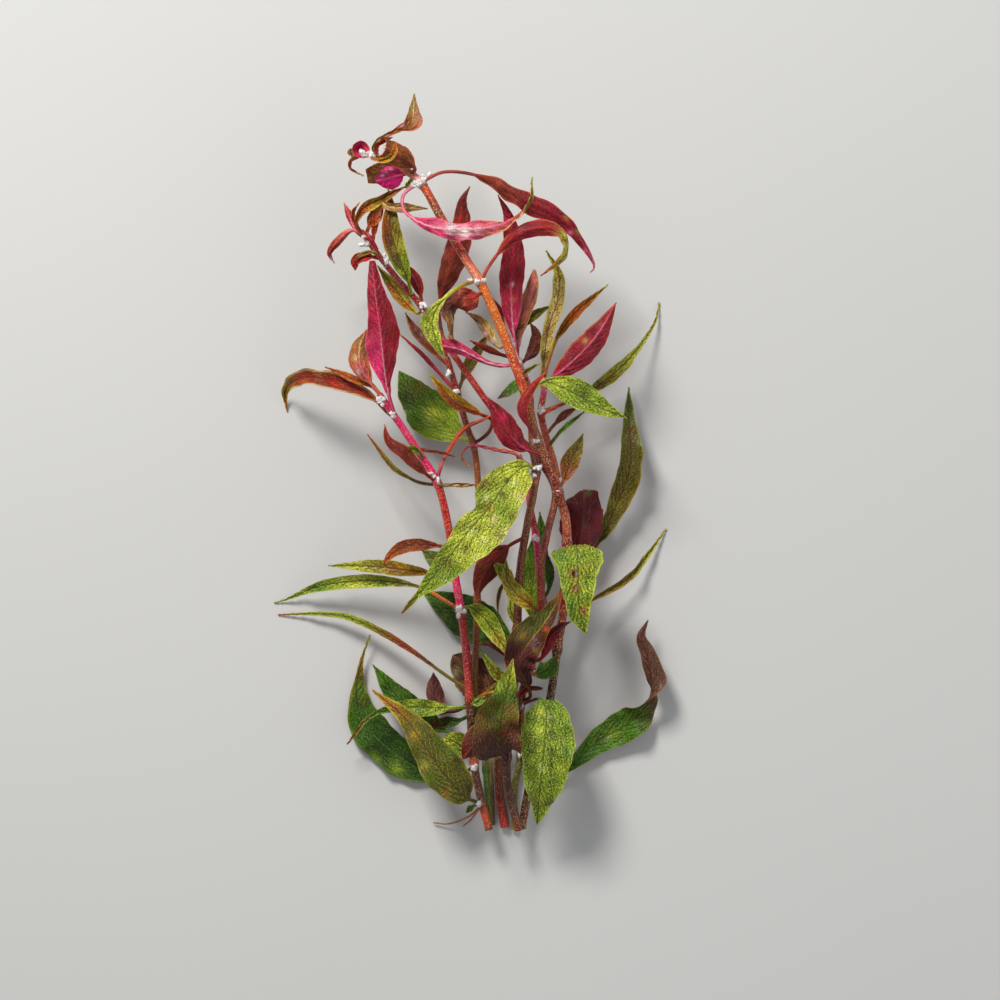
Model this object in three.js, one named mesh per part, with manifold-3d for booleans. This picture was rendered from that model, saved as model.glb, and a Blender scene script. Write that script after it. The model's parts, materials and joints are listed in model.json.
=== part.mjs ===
// Alternanthera reineckii: a picked bunch of seven leafy stems, lying on a flat surface.
// Millimetres, +Z up. +Y runs from the cut ends to the growing tips, and the origin is the
// middle of the bunch's box, on the surface that it lies on.

import * as THREE from 'three';
import { mergeVertices } from 'three/addons/utils/BufferGeometryUtils.js';
import Module from 'manifold-3d';

// Driving dimensions
const PLANT_LENGTH = 250;
const BLADE_THICKNESS = 0.7;
const BLADE_EDGE_THICKNESS = 0.5;
const PETIOLE_WIDTH = 1.5;
const TIP_WIDTH = 0.5;
const NODE_SWELLING = 0.3;
const NODE_REACH = 2.6;
const LEAF_SETBACK = 2.7;
const YOUNG_BLADE_THICKNESS = 0.6;
const BEND_ROOM = 0.8;

// How finely each piece is stepped
const STEM_SIDES = 6;
const STEM_STEP = 13;
const ROOT_SIDES = 4;
const BLADE_STATIONS = 10;
const YOUNG_STATIONS = 7;

// Columns and rows of the photograph: what the plant spans there, and the middle of its box
const TIP_ROW = 97;
const CUT_ROW = 832;
const CENTRE_COLUMN = 470;
const CENTRE_ROW = 465.5;
const MM_PER_PIXEL = PLANT_LENGTH / (CUT_ROW - TIP_ROW);

// Colours
const ORANGE = 0xb5602a;
const CRIMSON = 0xa01830;
const MAGENTA = 0xcc2068;
const PINK = 0xc8506a;
const SALMON = 0xb86048;
const MAROON = 0x5a2018;
const BRONZE = 0xa86028;
const OLIVE = 0x8c7c28;
const LIME = 0xa8b838;
const GREEN = 0x4c7820;
const DARK_GREEN = 0x2a4818;
const TAN = 0xa08050;

const UP = new THREE.Vector3(0, 0, 1);
const RIGHT = new THREE.Vector3(1, 0, 0);
const wasm = await Module();
wasm.setup();

// Every route below is a list of [column, row, height]: where the photograph shows a point of
// the stem or midrib, and its height in millimetres over the surface that the plant lies on.
function route(points) {
  const places = points.map(([column, row, height]) => new THREE.Vector3(
    (column - CENTRE_COLUMN) * MM_PER_PIXEL,
    (CENTRE_ROW - row) * MM_PER_PIXEL,
    height,
  ));
  return new THREE.CatmullRomCurve3(places, false, 'centripetal');
}

function mix(values, share) {
  const place = share * (values.length - 1);
  const index = Math.min(Math.floor(place), values.length - 2);
  return THREE.MathUtils.lerp(values[index], values[index + 1], place - index);
}

// Joins rings of points, all of one count, into a closed body with flat ends. The two halves of a
// ring are split along matching diagonals, so that the faces of a thin twisted blade don't cross.
function loft(rings) {
  const sides = rings[0].length;
  const positions = rings.flat().flatMap((point) => point.toArray());
  const faces = [];
  for (let ring = 0; ring < rings.length - 1; ring += 1) {
    for (let side = 0; side < sides; side += 1) {
      const here = ring * sides + side;
      const beside = ring * sides + (side + 1) % sides;
      if (side < sides / 2) {
        faces.push(here, beside, here + sides);
        faces.push(beside, beside + sides, here + sides);
      } else {
        faces.push(here, beside, beside + sides);
        faces.push(here, beside + sides, here + sides);
      }
    }
  }
  const last = (rings.length - 1) * sides;
  for (let side = 1; side < sides - 1; side += 1) {
    faces.push(0, side + 1, side);
    faces.push(last, last + side, last + side + 1);
  }
  const geometry = new THREE.BufferGeometry();
  geometry.setAttribute('position', new THREE.Float32BufferAttribute(positions, 3));
  geometry.setIndex(faces);
  return geometry;
}

// A blade widens from its petiole and runs out to a pointed tip.
function bladeWidth(width, petiole, share) {
  if (share <= petiole) {
    return PETIOLE_WIDTH;
  }
  const along = (share - petiole) / (1 - petiole);
  const swell = Math.sin(Math.PI * along ** 0.82) ** 0.85;
  const foot = THREE.MathUtils.lerp(PETIOLE_WIDTH, TIP_WIDTH, along);
  return Math.max(foot, width * swell);
}

// How far a blade may reach aside at one station before it passes through those beside it.
function roomAside(frames, index, direction) {
  let room = Infinity;
  for (const other of [index - 2, index - 1, index + 1, index + 2]) {
    const frame = frames[other];
    if (frame) {
      const ahead = Math.sign(other - index);
      const gap = ahead * frame.centre.clone().sub(frames[index].centre).dot(frame.tangent);
      const approach = ahead * direction.dot(frame.tangent);
      if (gap > 0 && approach > 0) {
        room = Math.min(room, BEND_ROOM * gap / approach);
      }
    }
  }
  return room;
}

// Roll turns the blade about its midrib, in degrees: 0 has the upper face up, 90 stands the
// blade on edge, and 180 has the underside up. A blade that arches over has its width along X.
// On the inside of a bend, a blade is no wider than the bend has room for.
function bladeGeometry(blade, young = false) {
  const { path, width, petiole = 0.14, roll = [0, 0], trough = 12, arches = false } = blade;
  const curve = route(path);
  const stations = young ? YOUNG_STATIONS : BLADE_STATIONS;
  const middle = (young ? YOUNG_BLADE_THICKNESS : BLADE_THICKNESS) / 2;
  const edge = (young ? YOUNG_BLADE_THICKNESS : BLADE_EDGE_THICKNESS) / 2;
  const start = young ? 0 : LEAF_SETBACK / curve.getLength();
  const frames = Array.from({ length: stations }, (_, station) => {
    const share = station / (stations - 1);
    const along = THREE.MathUtils.lerp(start, 1, share);
    const centre = curve.getPointAt(along);
    const tangent = curve.getTangentAt(along);
    const level = arches
      ? RIGHT.clone().addScaledVector(tangent, -tangent.x).normalize()
      : new THREE.Vector3().crossVectors(UP, tangent).normalize();
    const across = level.applyAxisAngle(tangent, THREE.MathUtils.degToRad(mix(roll, share)));
    const normal = new THREE.Vector3().crossVectors(tangent, across);
    return { centre, tangent, across, normal, half: bladeWidth(width, petiole, share) / 2 };
  });
  const slope = Math.sin(THREE.MathUtils.degToRad(trough));
  return loft(frames.map(({ centre, across, normal, half }, index) => {
    const point = (side, height) => {
      const direction = across.clone().multiplyScalar(side).addScaledVector(normal, slope);
      const reach = side ? Math.min(half, roomAside(frames, index, direction)) : 0;
      return centre.clone().addScaledVector(direction, reach).addScaledVector(normal, height);
    };
    return [
      point(1, edge), point(0, middle), point(-1, edge),
      point(-1, -edge), point(0, -middle), point(1, -edge),
    ];
  }));
}

// A stem thins from one end to the other, and swells where leaves grow from it. Its nodes are
// given as rows of the photograph.
function stemGeometry({ path, thickness, nodes = [] }, sides = STEM_SIDES) {
  const curve = route(path);
  const length = curve.getLength();
  const steps = Math.ceil(length / STEM_STEP);
  const samples = curve.getSpacedPoints(400);
  const nodeShares = nodes.map((row) => {
    const y = (CENTRE_ROW - row) * MM_PER_PIXEL;
    const nearest = samples.reduce((best, sample, index) => (
      Math.abs(sample.y - y) < Math.abs(samples[best].y - y) ? index : best), 0);
    return nearest / (samples.length - 1);
  });
  const reach = NODE_REACH / length;
  const even = Array.from({ length: steps + 1 }, (_, step) => step / steps)
    .filter((share) => nodeShares.every((node) => Math.abs(share - node) > reach * 1.4));
  const atNodes = nodeShares.flatMap((node) => [node - reach, node, node + reach])
    .filter((share) => share > reach / 2 && share < 1 - reach / 2);
  const shares = [...new Set([0, ...even, ...atNodes, 1])].sort((a, b) => a - b);
  return loft(shares.map((share) => {
    const centre = curve.getPointAt(share);
    const tangent = curve.getTangentAt(share);
    const across = new THREE.Vector3().crossVectors(tangent, UP).normalize();
    const upward = new THREE.Vector3().crossVectors(across, tangent);
    const swelling = nodeShares.some((node) => Math.abs(share - node) < reach / 2);
    const radius = mix(thickness, share) / 2 * (swelling ? 1 + NODE_SWELLING : 1);
    return Array.from({ length: sides }, (_, side) => {
      const angle = (side + 0.5) / sides * 2 * Math.PI;
      return centre.clone()
        .addScaledVector(across, radius * Math.cos(angle))
        .addScaledVector(upward, -radius * Math.sin(angle));
    });
  }));
}

// Joins the young leaves, buds and roots of a stem to it, as one body.
function fuse(geometries) {
  const solids = geometries.map((geometry) => {
    const merged = mergeVertices(geometry, 1e-4);
    return new wasm.Manifold(new wasm.Mesh({
      numProp: 3,
      vertProperties: new Float32Array(merged.attributes.position.array),
      triVerts: new Uint32Array(merged.index.array),
    }));
  });
  const joined = solids.reduce((whole, solid) => whole.add(solid)).getMesh();
  const geometry = new THREE.BufferGeometry();
  geometry.setAttribute('position', new THREE.BufferAttribute(joined.vertProperties, 3));
  geometry.setIndex(new THREE.BufferAttribute(joined.triVerts, 1));
  return geometry;
}

// Stems, from the growing tip down to the cut end. Young leaves at a tip are part of its stem.
const STEMS = {
  // The tallest stem, orange, with a twisted head of young leaves.
  stem_a: {
    colour: ORANGE,
    thickness: [2.6, 3.0, 3.2, 3.0, 2.8, 2.8, 2.8],
    nodes: [184, 283, 437, 492, 543],
    path: [[402, 168, 34], [421, 184, 35], [443, 222, 38], [468, 264, 41], [480, 283, 43],
      [503, 335, 44], [525, 395, 43], [536, 437, 39], [551, 470, 34], [558, 492, 30],
      [566, 520, 25], [567, 543, 22], [565, 600, 16], [557, 655, 11], [551, 697, 9],
      [530, 785, 7.5], [522, 831, 7]],
    young: [
      { width: 5.5, roll: [60, 60, 40, 10, -10, 40], petiole: 0.3,
        path: [[402, 168, 34], [380, 160, 38], [374, 154, 40], [380, 142, 42], [396, 133, 43],
          [410, 127, 42], [415, 112, 40], [415, 97, 38]] },
      { width: 8, roll: [20, 30, 20, 60, 100], petiole: 0.1,
        path: [[410, 172, 35], [397, 165, 39], [386, 161, 41], [381, 152, 40], [387, 144, 36]] },
      { width: 7, roll: [180, 180, 170], petiole: 0.1,
        path: [[406, 171, 34.2], [400, 178, 30], [388, 182, 28]] },
      { width: 6, roll: [0, 20, 0], petiole: 0.1,
        path: [[402, 168, 34], [386, 171, 33], [374, 179, 32], [366, 187, 31]] },
      { width: 3, roll: [70, 80, 70, 90], petiole: 0.2,
        path: [[390, 163, 35], [370, 158, 36], [360, 144, 36], [352, 150, 35], [351, 165, 33],
          [364, 177, 32]] },
    ],
  },
  // A crimson stem that leans right behind the first one, then drops beside it.
  stem_b: {
    colour: CRIMSON,
    thickness: [1.8, 2.1, 2.3, 2.5, 2.8, 3.0],
    nodes: [307, 412, 615, 762],
    path: [[362, 232, 30], [376, 252, 29], [400, 282, 27], [422, 307, 26], [440, 335, 27],
      [470, 378, 28], [495, 412, 28], [537, 458, 27], [555, 490, 26], [548, 530, 28],
      [541, 565, 27], [541, 615, 22], [535, 650, 19], [520, 700, 13], [505, 740, 8],
      [499, 762, 6], [500, 800, 3], [505, 830, 1.6]],
    young: [
      { width: 2.4, roll: [30, 60], petiole: 0.1,
        path: [[364, 236, 30], [356, 226, 31], [354, 212, 32], [359, 203, 32]] },
      { width: 3, roll: [20, 40, 20], petiole: 0.1,
        path: [[364, 236, 30], [362, 218, 33], [368, 206, 34], [384, 197, 35], [404, 188, 35]] },
      { width: 4, roll: [0, 20], petiole: 0.1,
        path: [[364, 236, 30], [370, 223, 29], [382, 207, 28]] },
      { width: 2.6, roll: [150, 180], petiole: 0.1,
        path: [[366, 238, 29], [357, 230, 29], [345, 204, 28]] },
      { width: 3, roll: [170, 180, 150], petiole: 0.1,
        path: [[365, 236, 30], [350, 233, 31], [336, 243, 30], [331, 254, 28], [334, 263, 26]] },
      { width: 3, roll: [0, 30, 60], petiole: 0.1,
        path: [[381, 259, 28], [368, 256, 29], [357, 260, 28], [356, 270, 26]] },
    ],
  },
  // A brown stem with a pink top, which passes behind the first stem.
  stem_c: {
    colour: BRONZE,
    thickness: [2.4, 2.6, 2.7, 2.8, 2.8],
    nodes: [360, 471, 630, 757],
    path: [[517, 360, 30], [528, 388, 29], [531, 420, 29], [533, 450, 31], [536, 471, 33],
      [533, 495, 34], [528, 520, 34], [520, 570, 29], [517, 630, 24], [514, 680, 22],
      [510, 730, 18], [507, 757, 16], [507, 780, 15], [511, 800, 14], [519, 832, 12.5]],
  },
  // A thin stem at the back, red above and green at the foot.
  stem_d: {
    colour: CRIMSON,
    thickness: [2.0, 2.2, 2.2, 2.2],
    nodes: [392, 443, 600, 772],
    path: [[447, 358, 22], [457, 392, 20], [468, 430, 18], [473, 443, 18], [478, 482, 18],
      [479, 560, 17], [477, 600, 15], [476, 640, 14], [475, 700, 11], [484, 750, 8.5],
      [487, 790, 6.5], [490, 828, 5.5]],
  },
  // A side shoot of the first stem.
  side_shoot: {
    colour: PINK,
    thickness: [2.0, 2.2, 2.2],
    nodes: [412],
    path: [[542, 378, 24], [544, 390, 25], [541, 412, 26], [547, 440, 27], [552, 455, 27.5],
      [558, 478, 27.5]],
  },
  // A magenta stem behind the others.
  stem_f: {
    colour: MAGENTA,
    thickness: [2.0, 2.3, 2.4, 2.4],
    nodes: [537, 707, 757],
    path: [[519, 456, 26], [528, 485, 25], [530, 505, 24], [536, 537, 22], [540, 580, 19],
      [545, 616, 16], [535, 650, 12], [524, 690, 7], [521, 707, 6], [521, 757, 3],
      [515, 790, 1.8], [515, 833, 1.3]],
  },
  // The left stem, bright magenta above, with a bud and two roots at its foot.
  stem_g: {
    colour: MAGENTA,
    thickness: [2.2, 2.6, 2.7, 2.7, 2.7],
    nodes: [482, 611, 700, 766, 806],
    path: [[380, 395, 32], [396, 418, 32], [422, 457, 31], [437, 482, 30], [449, 530, 28],
      [455, 575, 25], [461, 611, 22], [466, 650, 18], [470, 708, 15], [474, 766, 11],
      [480, 797, 10], [489, 832, 9.5]],
    young: [
      { width: 2.5, roll: [0, 20], petiole: 0.1,
        path: [[482, 805, 10], [473, 808, 9], [466, 815, 7]] },
    ],
    roots: [
      [[482, 806, 10], [470, 818, 6], [448, 827, 2], [433, 826, 1]],
      [[482, 806, 10], [471, 822, 5], [463, 829, 2.5]],
    ],
  },
  // A short bare stub between the cut ends.
  stem_stub: {
    colour: TAN,
    thickness: [1.3, 1.4],
    path: [[491, 762, 4], [492, 795, 2.4], [493, 828, 1]],
  },
};

// Leaves, from the stem out to the tip. Each path starts on the axis of the stem that bears it.
const LEAVES = {
  leaf_a1_right: { colour: CRIMSON, width: 6.2, petiole: 0.2, roll: [180, 170, 160, 165, 180],
    path: [[423, 183, 36], [445, 174, 40], [485, 180, 42], [525, 200, 42], [565, 220, 38],
      [590, 254, 33], [594, 270, 30]] },
  leaf_a1_left: { colour: MAGENTA, width: 7, petiole: 0.18, roll: [180, 180, 180, 170, 130, 60, 20],
    path: [[419, 184, 35], [404, 197, 40], [406, 214, 45], [430, 231, 49], [460, 232, 50],
      [505, 226, 52], [530, 207, 54], [531, 180, 54]] },
  leaf_a2_right: { colour: CRIMSON, width: 6.4, petiole: 0.16,
    roll: [160, 165, 180, 175, 120, 40, 20],
    path: [[481, 284, 43], [490, 267, 48], [515, 238, 52], [547, 229, 53], [564, 236, 52],
      [565, 258, 49], [540, 278, 46]] },
  leaf_a2_left: { colour: LIME, width: 7.5, petiole: 0.16, roll: [10, 0, -20, -30, 0],
    path: [[478, 282, 43], [462, 288, 48], [440, 304, 51], [431, 325, 51], [436, 343, 49],
      [445, 359, 47]] },
  leaf_a2_curled: { colour: MAROON, width: 7, petiole: 0.1, roll: [180, 170, 120, 70, 40],
    path: [[485, 295, 43], [473, 302, 46], [460, 304, 46], [452, 311, 42], [454, 326, 39],
      [452, 340, 38]] },
  leaf_a3_right: { colour: LIME, width: 8.6, petiole: 0.1, roll: [0, 0, -10, 0],
    path: [[524, 391, 43], [533, 389, 40], [545, 383, 37], [560, 387, 37], [600, 408, 36],
      [626, 418, 34]] },
  leaf_a4_red: { colour: CRIMSON, width: 5.4, petiole: 0.2, roll: [180, 160, 150, 170],
    path: [[536, 437, 39], [530, 430, 46], [521, 411, 49], [524, 398, 49], [533, 386, 48],
      [545, 374, 45]] },
  leaf_a4_left: { colour: CRIMSON, width: 9.5, petiole: 0.1, roll: [180, 180, 170],
    path: [[543, 455, 37], [525, 449, 40], [510, 435, 41], [500, 418, 40], [488, 398, 38]] },
  leaf_a5_tall: { colour: OLIVE, width: 9, petiole: 0.2, roll: [0, 10, 20, 10, 0],
    path: [[566, 575, 18], [580, 562, 12], [597, 546, 8], [617, 505, 9], [631, 465, 11],
      [630, 420, 8], [630, 386, 3]] },
  leaf_a5_small: { colour: OLIVE, width: 6.1, petiole: 0.2, roll: [0, 0, 20],
    path: [[558, 490, 30], [565, 478, 29], [570, 462, 28], [576, 450, 28], [583, 434, 27]] },
  leaf_a5_purple: { colour: MAROON, width: 13.6, petiole: 0.12, arches: true,
    path: [[567, 568, 19], [577, 556, 15], [582, 530, 14], [584, 505, 14], [585, 490, 11],
      [585, 494, 7]] },
  leaf_a6_holed: { colour: LIME, width: 16, petiole: 0.3, arches: true,
    path: [[565, 598, 16], [576, 590, 16.5], [580, 566, 21], [577, 546, 27], [577, 552, 31],
      [580, 580, 34], [583, 610, 33], [586, 634, 30]] },
  leaf_a6_right: { colour: OLIVE, width: 3.4, petiole: 0.15, roll: [0, 20, 30, 10],
    path: [[565, 606, 15.5], [578, 607, 12], [602, 595, 9], [628, 579, 7], [652, 551, 3],
      [668, 529, 0.45]] },
  leaf_a7_right: { colour: GREEN, width: 11.4, petiole: 0.22,
    roll: [0, 0, 0, 5, 30, 120, 170, 180, 180],
    path: [[533, 772, 8], [550, 776, 5], [570, 768, 3], [600, 742, 2.2], [630, 725, 3],
      [647, 708, 6.2], [652, 688, 8.5], [646, 655, 10], [641, 638, 10], [649, 621, 8]] },
  leaf_b1_upright: { colour: OLIVE, width: 7.5, petiole: 0.08, roll: [0, 0, 10, 0],
    path: [[412, 296, 27], [408, 280, 31], [402, 265, 33], [391, 230, 34], [390, 205, 33],
      [388, 188, 32]] },
  leaf_b1_left: { colour: OLIVE, width: 4.8, petiole: 0.12, roll: [0, 0, 0],
    path: [[423, 309, 26], [416, 314, 23], [408, 306, 22], [396, 291, 21], [377, 265, 22]] },
  leaf_b2_wilted: { colour: MAROON, width: 11.5, petiole: 0.14, roll: [0, 10, -10, 0],
    path: [[520, 702, 12.5], [530, 698, 16], [526, 682, 23], [520, 668, 28], [521, 655, 30],
      [530, 641, 30], [545, 622, 28], [556, 603, 26], [562, 587, 24]] },
  leaf_b2_yellow: { colour: OLIVE, width: 6.1, petiole: 0.16, roll: [0, 0, 0, 10],
    path: [[541, 612, 22], [535, 608, 28], [527, 602, 33], [516, 593, 35], [507, 578, 37],
      [506, 559, 38]] },
  leaf_c1_upright: { colour: CRIMSON, width: 10.2, petiole: 0.08, roll: [180, 180, 175, 180],
    path: [[517, 358, 30], [513, 330, 32], [511, 290, 33], [513, 250, 34], [507, 217, 34],
      [497, 196, 33]] },
  leaf_c1_salmon: { colour: SALMON, width: 4.4, petiole: 0.1, roll: [170, 150, 120, 60, 40],
    path: [[517, 358, 30], [522, 335, 26], [528, 305, 25], [534, 285, 26], [535, 271, 27]] },
  leaf_c1_left: { colour: MAGENTA, width: 6.1, petiole: 0.14, roll: [180, 170, 160],
    path: [[517, 360, 30], [509, 366, 34], [490, 364, 36], [460, 350, 37], [428, 338, 36]] },
  leaf_c2_large: { colour: LIME, width: 15.4, petiole: 0.06, roll: [0, -8, 0, 8, 0],
    path: [[536, 471, 33.5], [529, 469, 38], [503, 493, 44], [480, 520, 45], [450, 553, 42],
      [425, 583, 38], [402, 613, 34]] },
  leaf_c3_brown: { colour: MAROON, width: 8.6, petiole: 0.12, roll: [180, 170, 180],
    path: [[525, 537, 33], [510, 545, 33], [497, 556, 32], [480, 583, 29], [477, 600, 27]] },
  leaf_c4_front: { colour: OLIVE, width: 15, petiole: 0.16, roll: [0, 0, 5, 0],
    path: [[507, 760, 16], [504, 756, 22], [502, 742, 29], [501, 722, 33], [505, 695, 35],
      [512, 658, 35]] },
  leaf_c4_brown: { colour: MAROON, width: 12.5, petiole: 0.12, roll: [180, 180, 170],
    path: [[507, 752, 16.5], [501, 745, 22], [490, 738, 25], [475, 745, 25], [462, 760, 21]] },
  leaf_d1_back: { colour: MAROON, width: 9.5, petiole: 0.3, roll: [180, 180, 170, 160, 180],
    path: [[447, 360, 22], [443, 340, 20], [439, 305, 21], [450, 268, 25], [459, 235, 27],
      [463, 200, 29], [470, 187, 29]] },
  leaf_d1_left: { colour: SALMON, width: 4.2, petiole: 0.1, roll: [0, 20, 0],
    path: [[449, 366, 21], [438, 356, 20], [425, 342, 19], [413, 328, 17], [405, 312, 15]] },
  leaf_d2_broad: { colour: GREEN, width: 16, petiole: 0.12, roll: [0, 0, -5, 0],
    path: [[473, 443, 18], [460, 436, 13], [445, 424, 8], [430, 412, 5], [412, 392, 3],
      [398, 370, 1.5]] },
  leaf_d2_orange: { colour: ORANGE, width: 4.8, petiole: 0.38, roll: [0, 20, 30, 10, 0],
    path: [[473, 443, 18], [481, 439, 20], [490, 430, 22], [492, 420, 23], [480, 414, 26],
      [455, 402, 31], [429, 374, 34]] },
  leaf_d3_round: { colour: TAN, width: 14, petiole: 0.1, roll: [0, 0],
    path: [[475, 712, 10.5], [488, 702, 8.5], [484, 688, 8], [470, 674, 7.5], [453, 656, 7]] },
  leaf_e1_upright: { colour: OLIVE, width: 5, petiole: 0.08, roll: [0, 20, -10, -30],
    path: [[542, 380, 24], [544, 360, 27], [548, 330, 29], [558, 298, 29], [558, 272, 29],
      [546, 251, 28]] },
  leaf_e1_orange: { colour: BRONZE, width: 3.4, petiole: 0.3, roll: [0, 10, 20],
    path: [[543, 382, 24], [549, 360, 21], [558, 336, 22], [578, 310, 26], [608, 285, 28]] },
  leaf_e1_crimson: { colour: CRIMSON, width: 8.6, petiole: 0.1, roll: [180, 175, 180],
    path: [[543, 384, 24], [556, 375, 28], [572, 362, 30], [597, 335, 32], [616, 303, 31]] },
  leaf_e2_brown: { colour: MAROON, width: 3.2, petiole: 0.2, roll: [0, 30],
    path: [[546, 435, 27], [554, 425, 24], [566, 413, 21], [578, 407, 18]] },
  leaf_e2_right: { colour: OLIVE, width: 5, petiole: 0.2, roll: [0, 0, 20, 40, 20],
    path: [[541, 412, 26], [562, 404, 22], [588, 392, 20], [615, 372, 16], [640, 345, 9],
      [658, 318, 2.5], [661, 300, 0.45]] },
  leaf_f1_back: { colour: GREEN, width: 8.8, petiole: 0.12, roll: [0, 0],
    path: [[540, 634, 14], [535, 622, 11], [532, 600, 9], [534, 575, 9], [541, 530, 11],
      [540, 512, 12]] },
  leaf_f1_floor: { colour: DARK_GREEN, width: 16, petiole: 0.16, roll: [0, 0],
    path: [[537, 645, 12.5], [512, 640, 7], [480, 625, 2.5], [450, 608, 1], [421, 592, 0.45]] },
  leaf_f2_front: { colour: LIME, width: 17, petiole: 0.2, arches: true,
    path: [[521, 707, 6], [531, 702, 12], [541, 700, 20], [546, 710, 24], [545, 740, 27],
      [541, 780, 24], [537, 826, 15]] },
  leaf_g1_front: { colour: CRIMSON, width: 11.2, petiole: 0.1, roll: [180, 180, 175, 180],
    path: [[396, 418, 32], [391, 403, 36], [386, 375, 39], [383, 345, 40], [379, 310, 40],
      [373, 262, 38]] },
  leaf_g1_salmon: { colour: SALMON, width: 6, petiole: 0.1, roll: [160, 170, 180],
    path: [[381, 396, 32], [373, 386, 32], [361, 366, 33], [360, 348, 33], [366, 334, 32]] },
  leaf_g1_left: { colour: ORANGE, width: 5.2, petiole: 0.16, roll: [0, 0, 20, 0, -20],
    path: [[396, 418, 32], [388, 413, 27], [370, 396, 26], [335, 382, 23], [300, 378, 15],
      [283, 391, 4], [285, 409, 0.45]] },
  leaf_g2_red: { colour: SALMON, width: 6.1, petiole: 0.1, roll: [0, 20, 10],
    path: [[437, 482, 30], [425, 473, 34], [403, 453, 36], [388, 440, 35], [385, 425, 33]] },
  leaf_g2_narrow: { colour: OLIVE, width: 2.3, petiole: 0.2, roll: [0, 20, 20, 0],
    path: [[438, 485, 30], [418, 482, 26], [393, 468, 22], [375, 445, 19], [367, 434, 17]] },
  leaf_g3_bronze: { colour: BRONZE, width: 3.6, petiole: 0.1, roll: [0, 10, 20],
    path: [[452, 548, 27], [430, 545, 28], [405, 547, 27], [390, 555, 25], [382, 566, 23]] },
  leaf_g3_yellow: { colour: OLIVE, width: 4.8, petiole: 0.14, roll: [0, 0],
    path: [[455, 576, 25], [440, 574, 23], [405, 570, 18], [380, 567, 16], [327, 566, 12]] },
  leaf_g4_long: { colour: LIME, width: 5.2, petiole: 0.2, roll: [0, 0, -10, 0],
    path: [[461, 611, 22], [447, 602, 21], [418, 587, 16], [370, 581, 11], [318, 587, 6],
      [285, 600, 1.5], [272, 604, 0.45]] },
  leaf_g4_right: { colour: OLIVE, width: 6.1, petiole: 0.12, roll: [0, 0],
    path: [[461, 611, 22], [473, 609, 26], [486, 620, 28], [497, 637, 28], [510, 657, 27]] },
  leaf_g5_ribbon: { colour: OLIVE, width: 2.8, petiole: 0.12, roll: [0, 20, 0],
    path: [[468, 690, 16], [450, 679, 15], [410, 651, 11], [378, 632, 8], [345, 618, 5.5],
      [310, 615, 2.5], [276, 616, 0.45]] },
  leaf_g5_yellow: { colour: LIME, width: 5.2, petiole: 0.12, roll: [0, 0],
    path: [[470, 708, 15], [445, 709, 13], [400, 709, 12], [370, 719, 11], [346, 745, 8]] },
  leaf_g5_green: { colour: GREEN, width: 10, petiole: 0.16, roll: [0, 0],
    path: [[472, 738, 13], [455, 736, 10], [440, 730, 8], [400, 702, 7], [372, 666, 8]] },
  leaf_g6_floor: { colour: DARK_GREEN, width: 15.4, petiole: 0.16, roll: [0, 0, 0, 20],
    path: [[474, 768, 11], [455, 780, 5], [430, 777, 1.5], [395, 757, 0.5], [362, 724, 0.5],
      [355, 700, 1], [358, 670, 3], [369, 636, 5]] },
  leaf_g6_front: { colour: OLIVE, width: 15.4, petiole: 0.08, roll: [0, 0, 0],
    path: [[483, 806, 10], [466, 795, 16], [450, 778, 20], [428, 747, 22], [405, 716, 20],
      [372, 692, 16]] },
};

const plant = new THREE.Group();

function addPiece(name, geometry, colour) {
  geometry.computeVertexNormals();
  const material = new THREE.MeshStandardMaterial({ color: colour, roughness: 0.5, metalness: 0 });
  const mesh = new THREE.Mesh(geometry, material);
  mesh.name = name;
  plant.add(mesh);
}

for (const [name, stem] of Object.entries(STEMS)) {
  const young = (stem.young ?? []).map((blade) => bladeGeometry(blade, true));
  const roots = (stem.roots ?? []).map((path) => (
    stemGeometry({ path, thickness: [0.7, 0.5] }, ROOT_SIDES)));
  const parts = [stemGeometry(stem), ...young, ...roots];
  addPiece(name, parts.length > 1 ? fuse(parts) : parts[0], stem.colour);
}

for (const [name, leaf] of Object.entries(LEAVES)) {
  addPiece(name, bladeGeometry(leaf), leaf.colour);
}

export default plant;
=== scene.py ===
"""Alternanthera reineckii: the looks of a picked bunch of stems that lies on a flat surface.

Every leaf is a thin shell with a petiole, a midrib, side veins and a wavy margin, green or bronze
above and crimson below. Every stem is a tube with swollen nodes and white woolly hairs.
"""

import json

import bmesh
import bpy
import numpy as np
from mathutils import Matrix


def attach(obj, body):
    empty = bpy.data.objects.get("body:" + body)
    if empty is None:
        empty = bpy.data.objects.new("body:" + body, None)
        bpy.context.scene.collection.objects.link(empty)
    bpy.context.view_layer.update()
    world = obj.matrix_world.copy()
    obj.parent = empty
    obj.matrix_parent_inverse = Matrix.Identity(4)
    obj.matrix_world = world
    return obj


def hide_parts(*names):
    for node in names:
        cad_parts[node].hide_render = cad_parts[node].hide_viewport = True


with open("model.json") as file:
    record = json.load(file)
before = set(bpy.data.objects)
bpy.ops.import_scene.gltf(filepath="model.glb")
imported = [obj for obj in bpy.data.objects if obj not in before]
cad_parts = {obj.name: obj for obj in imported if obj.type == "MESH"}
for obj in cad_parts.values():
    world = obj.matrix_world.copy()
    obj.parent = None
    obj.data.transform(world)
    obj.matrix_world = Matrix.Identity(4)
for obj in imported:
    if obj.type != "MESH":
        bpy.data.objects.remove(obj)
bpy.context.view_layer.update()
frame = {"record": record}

# Driving sizes, in metres
MM = 0.001
PLANT_LENGTH = 250 * MM
BLADE_THICKNESS = 0.30 * MM
MARGIN_THICKNESS = 0.12 * MM
PETIOLE_WIDTH = 1.35 * MM
PETIOLE_THICKNESS = 1.0 * MM
TIP_WIDTH = 0.12 * MM
MIDRIB_WIDTH = 0.40 * MM
MIDRIB_HEIGHT = 0.26 * MM
QUILT_HEIGHT = 0.32 * MM
SWELL_HEIGHT = 0.42 * MM
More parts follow.
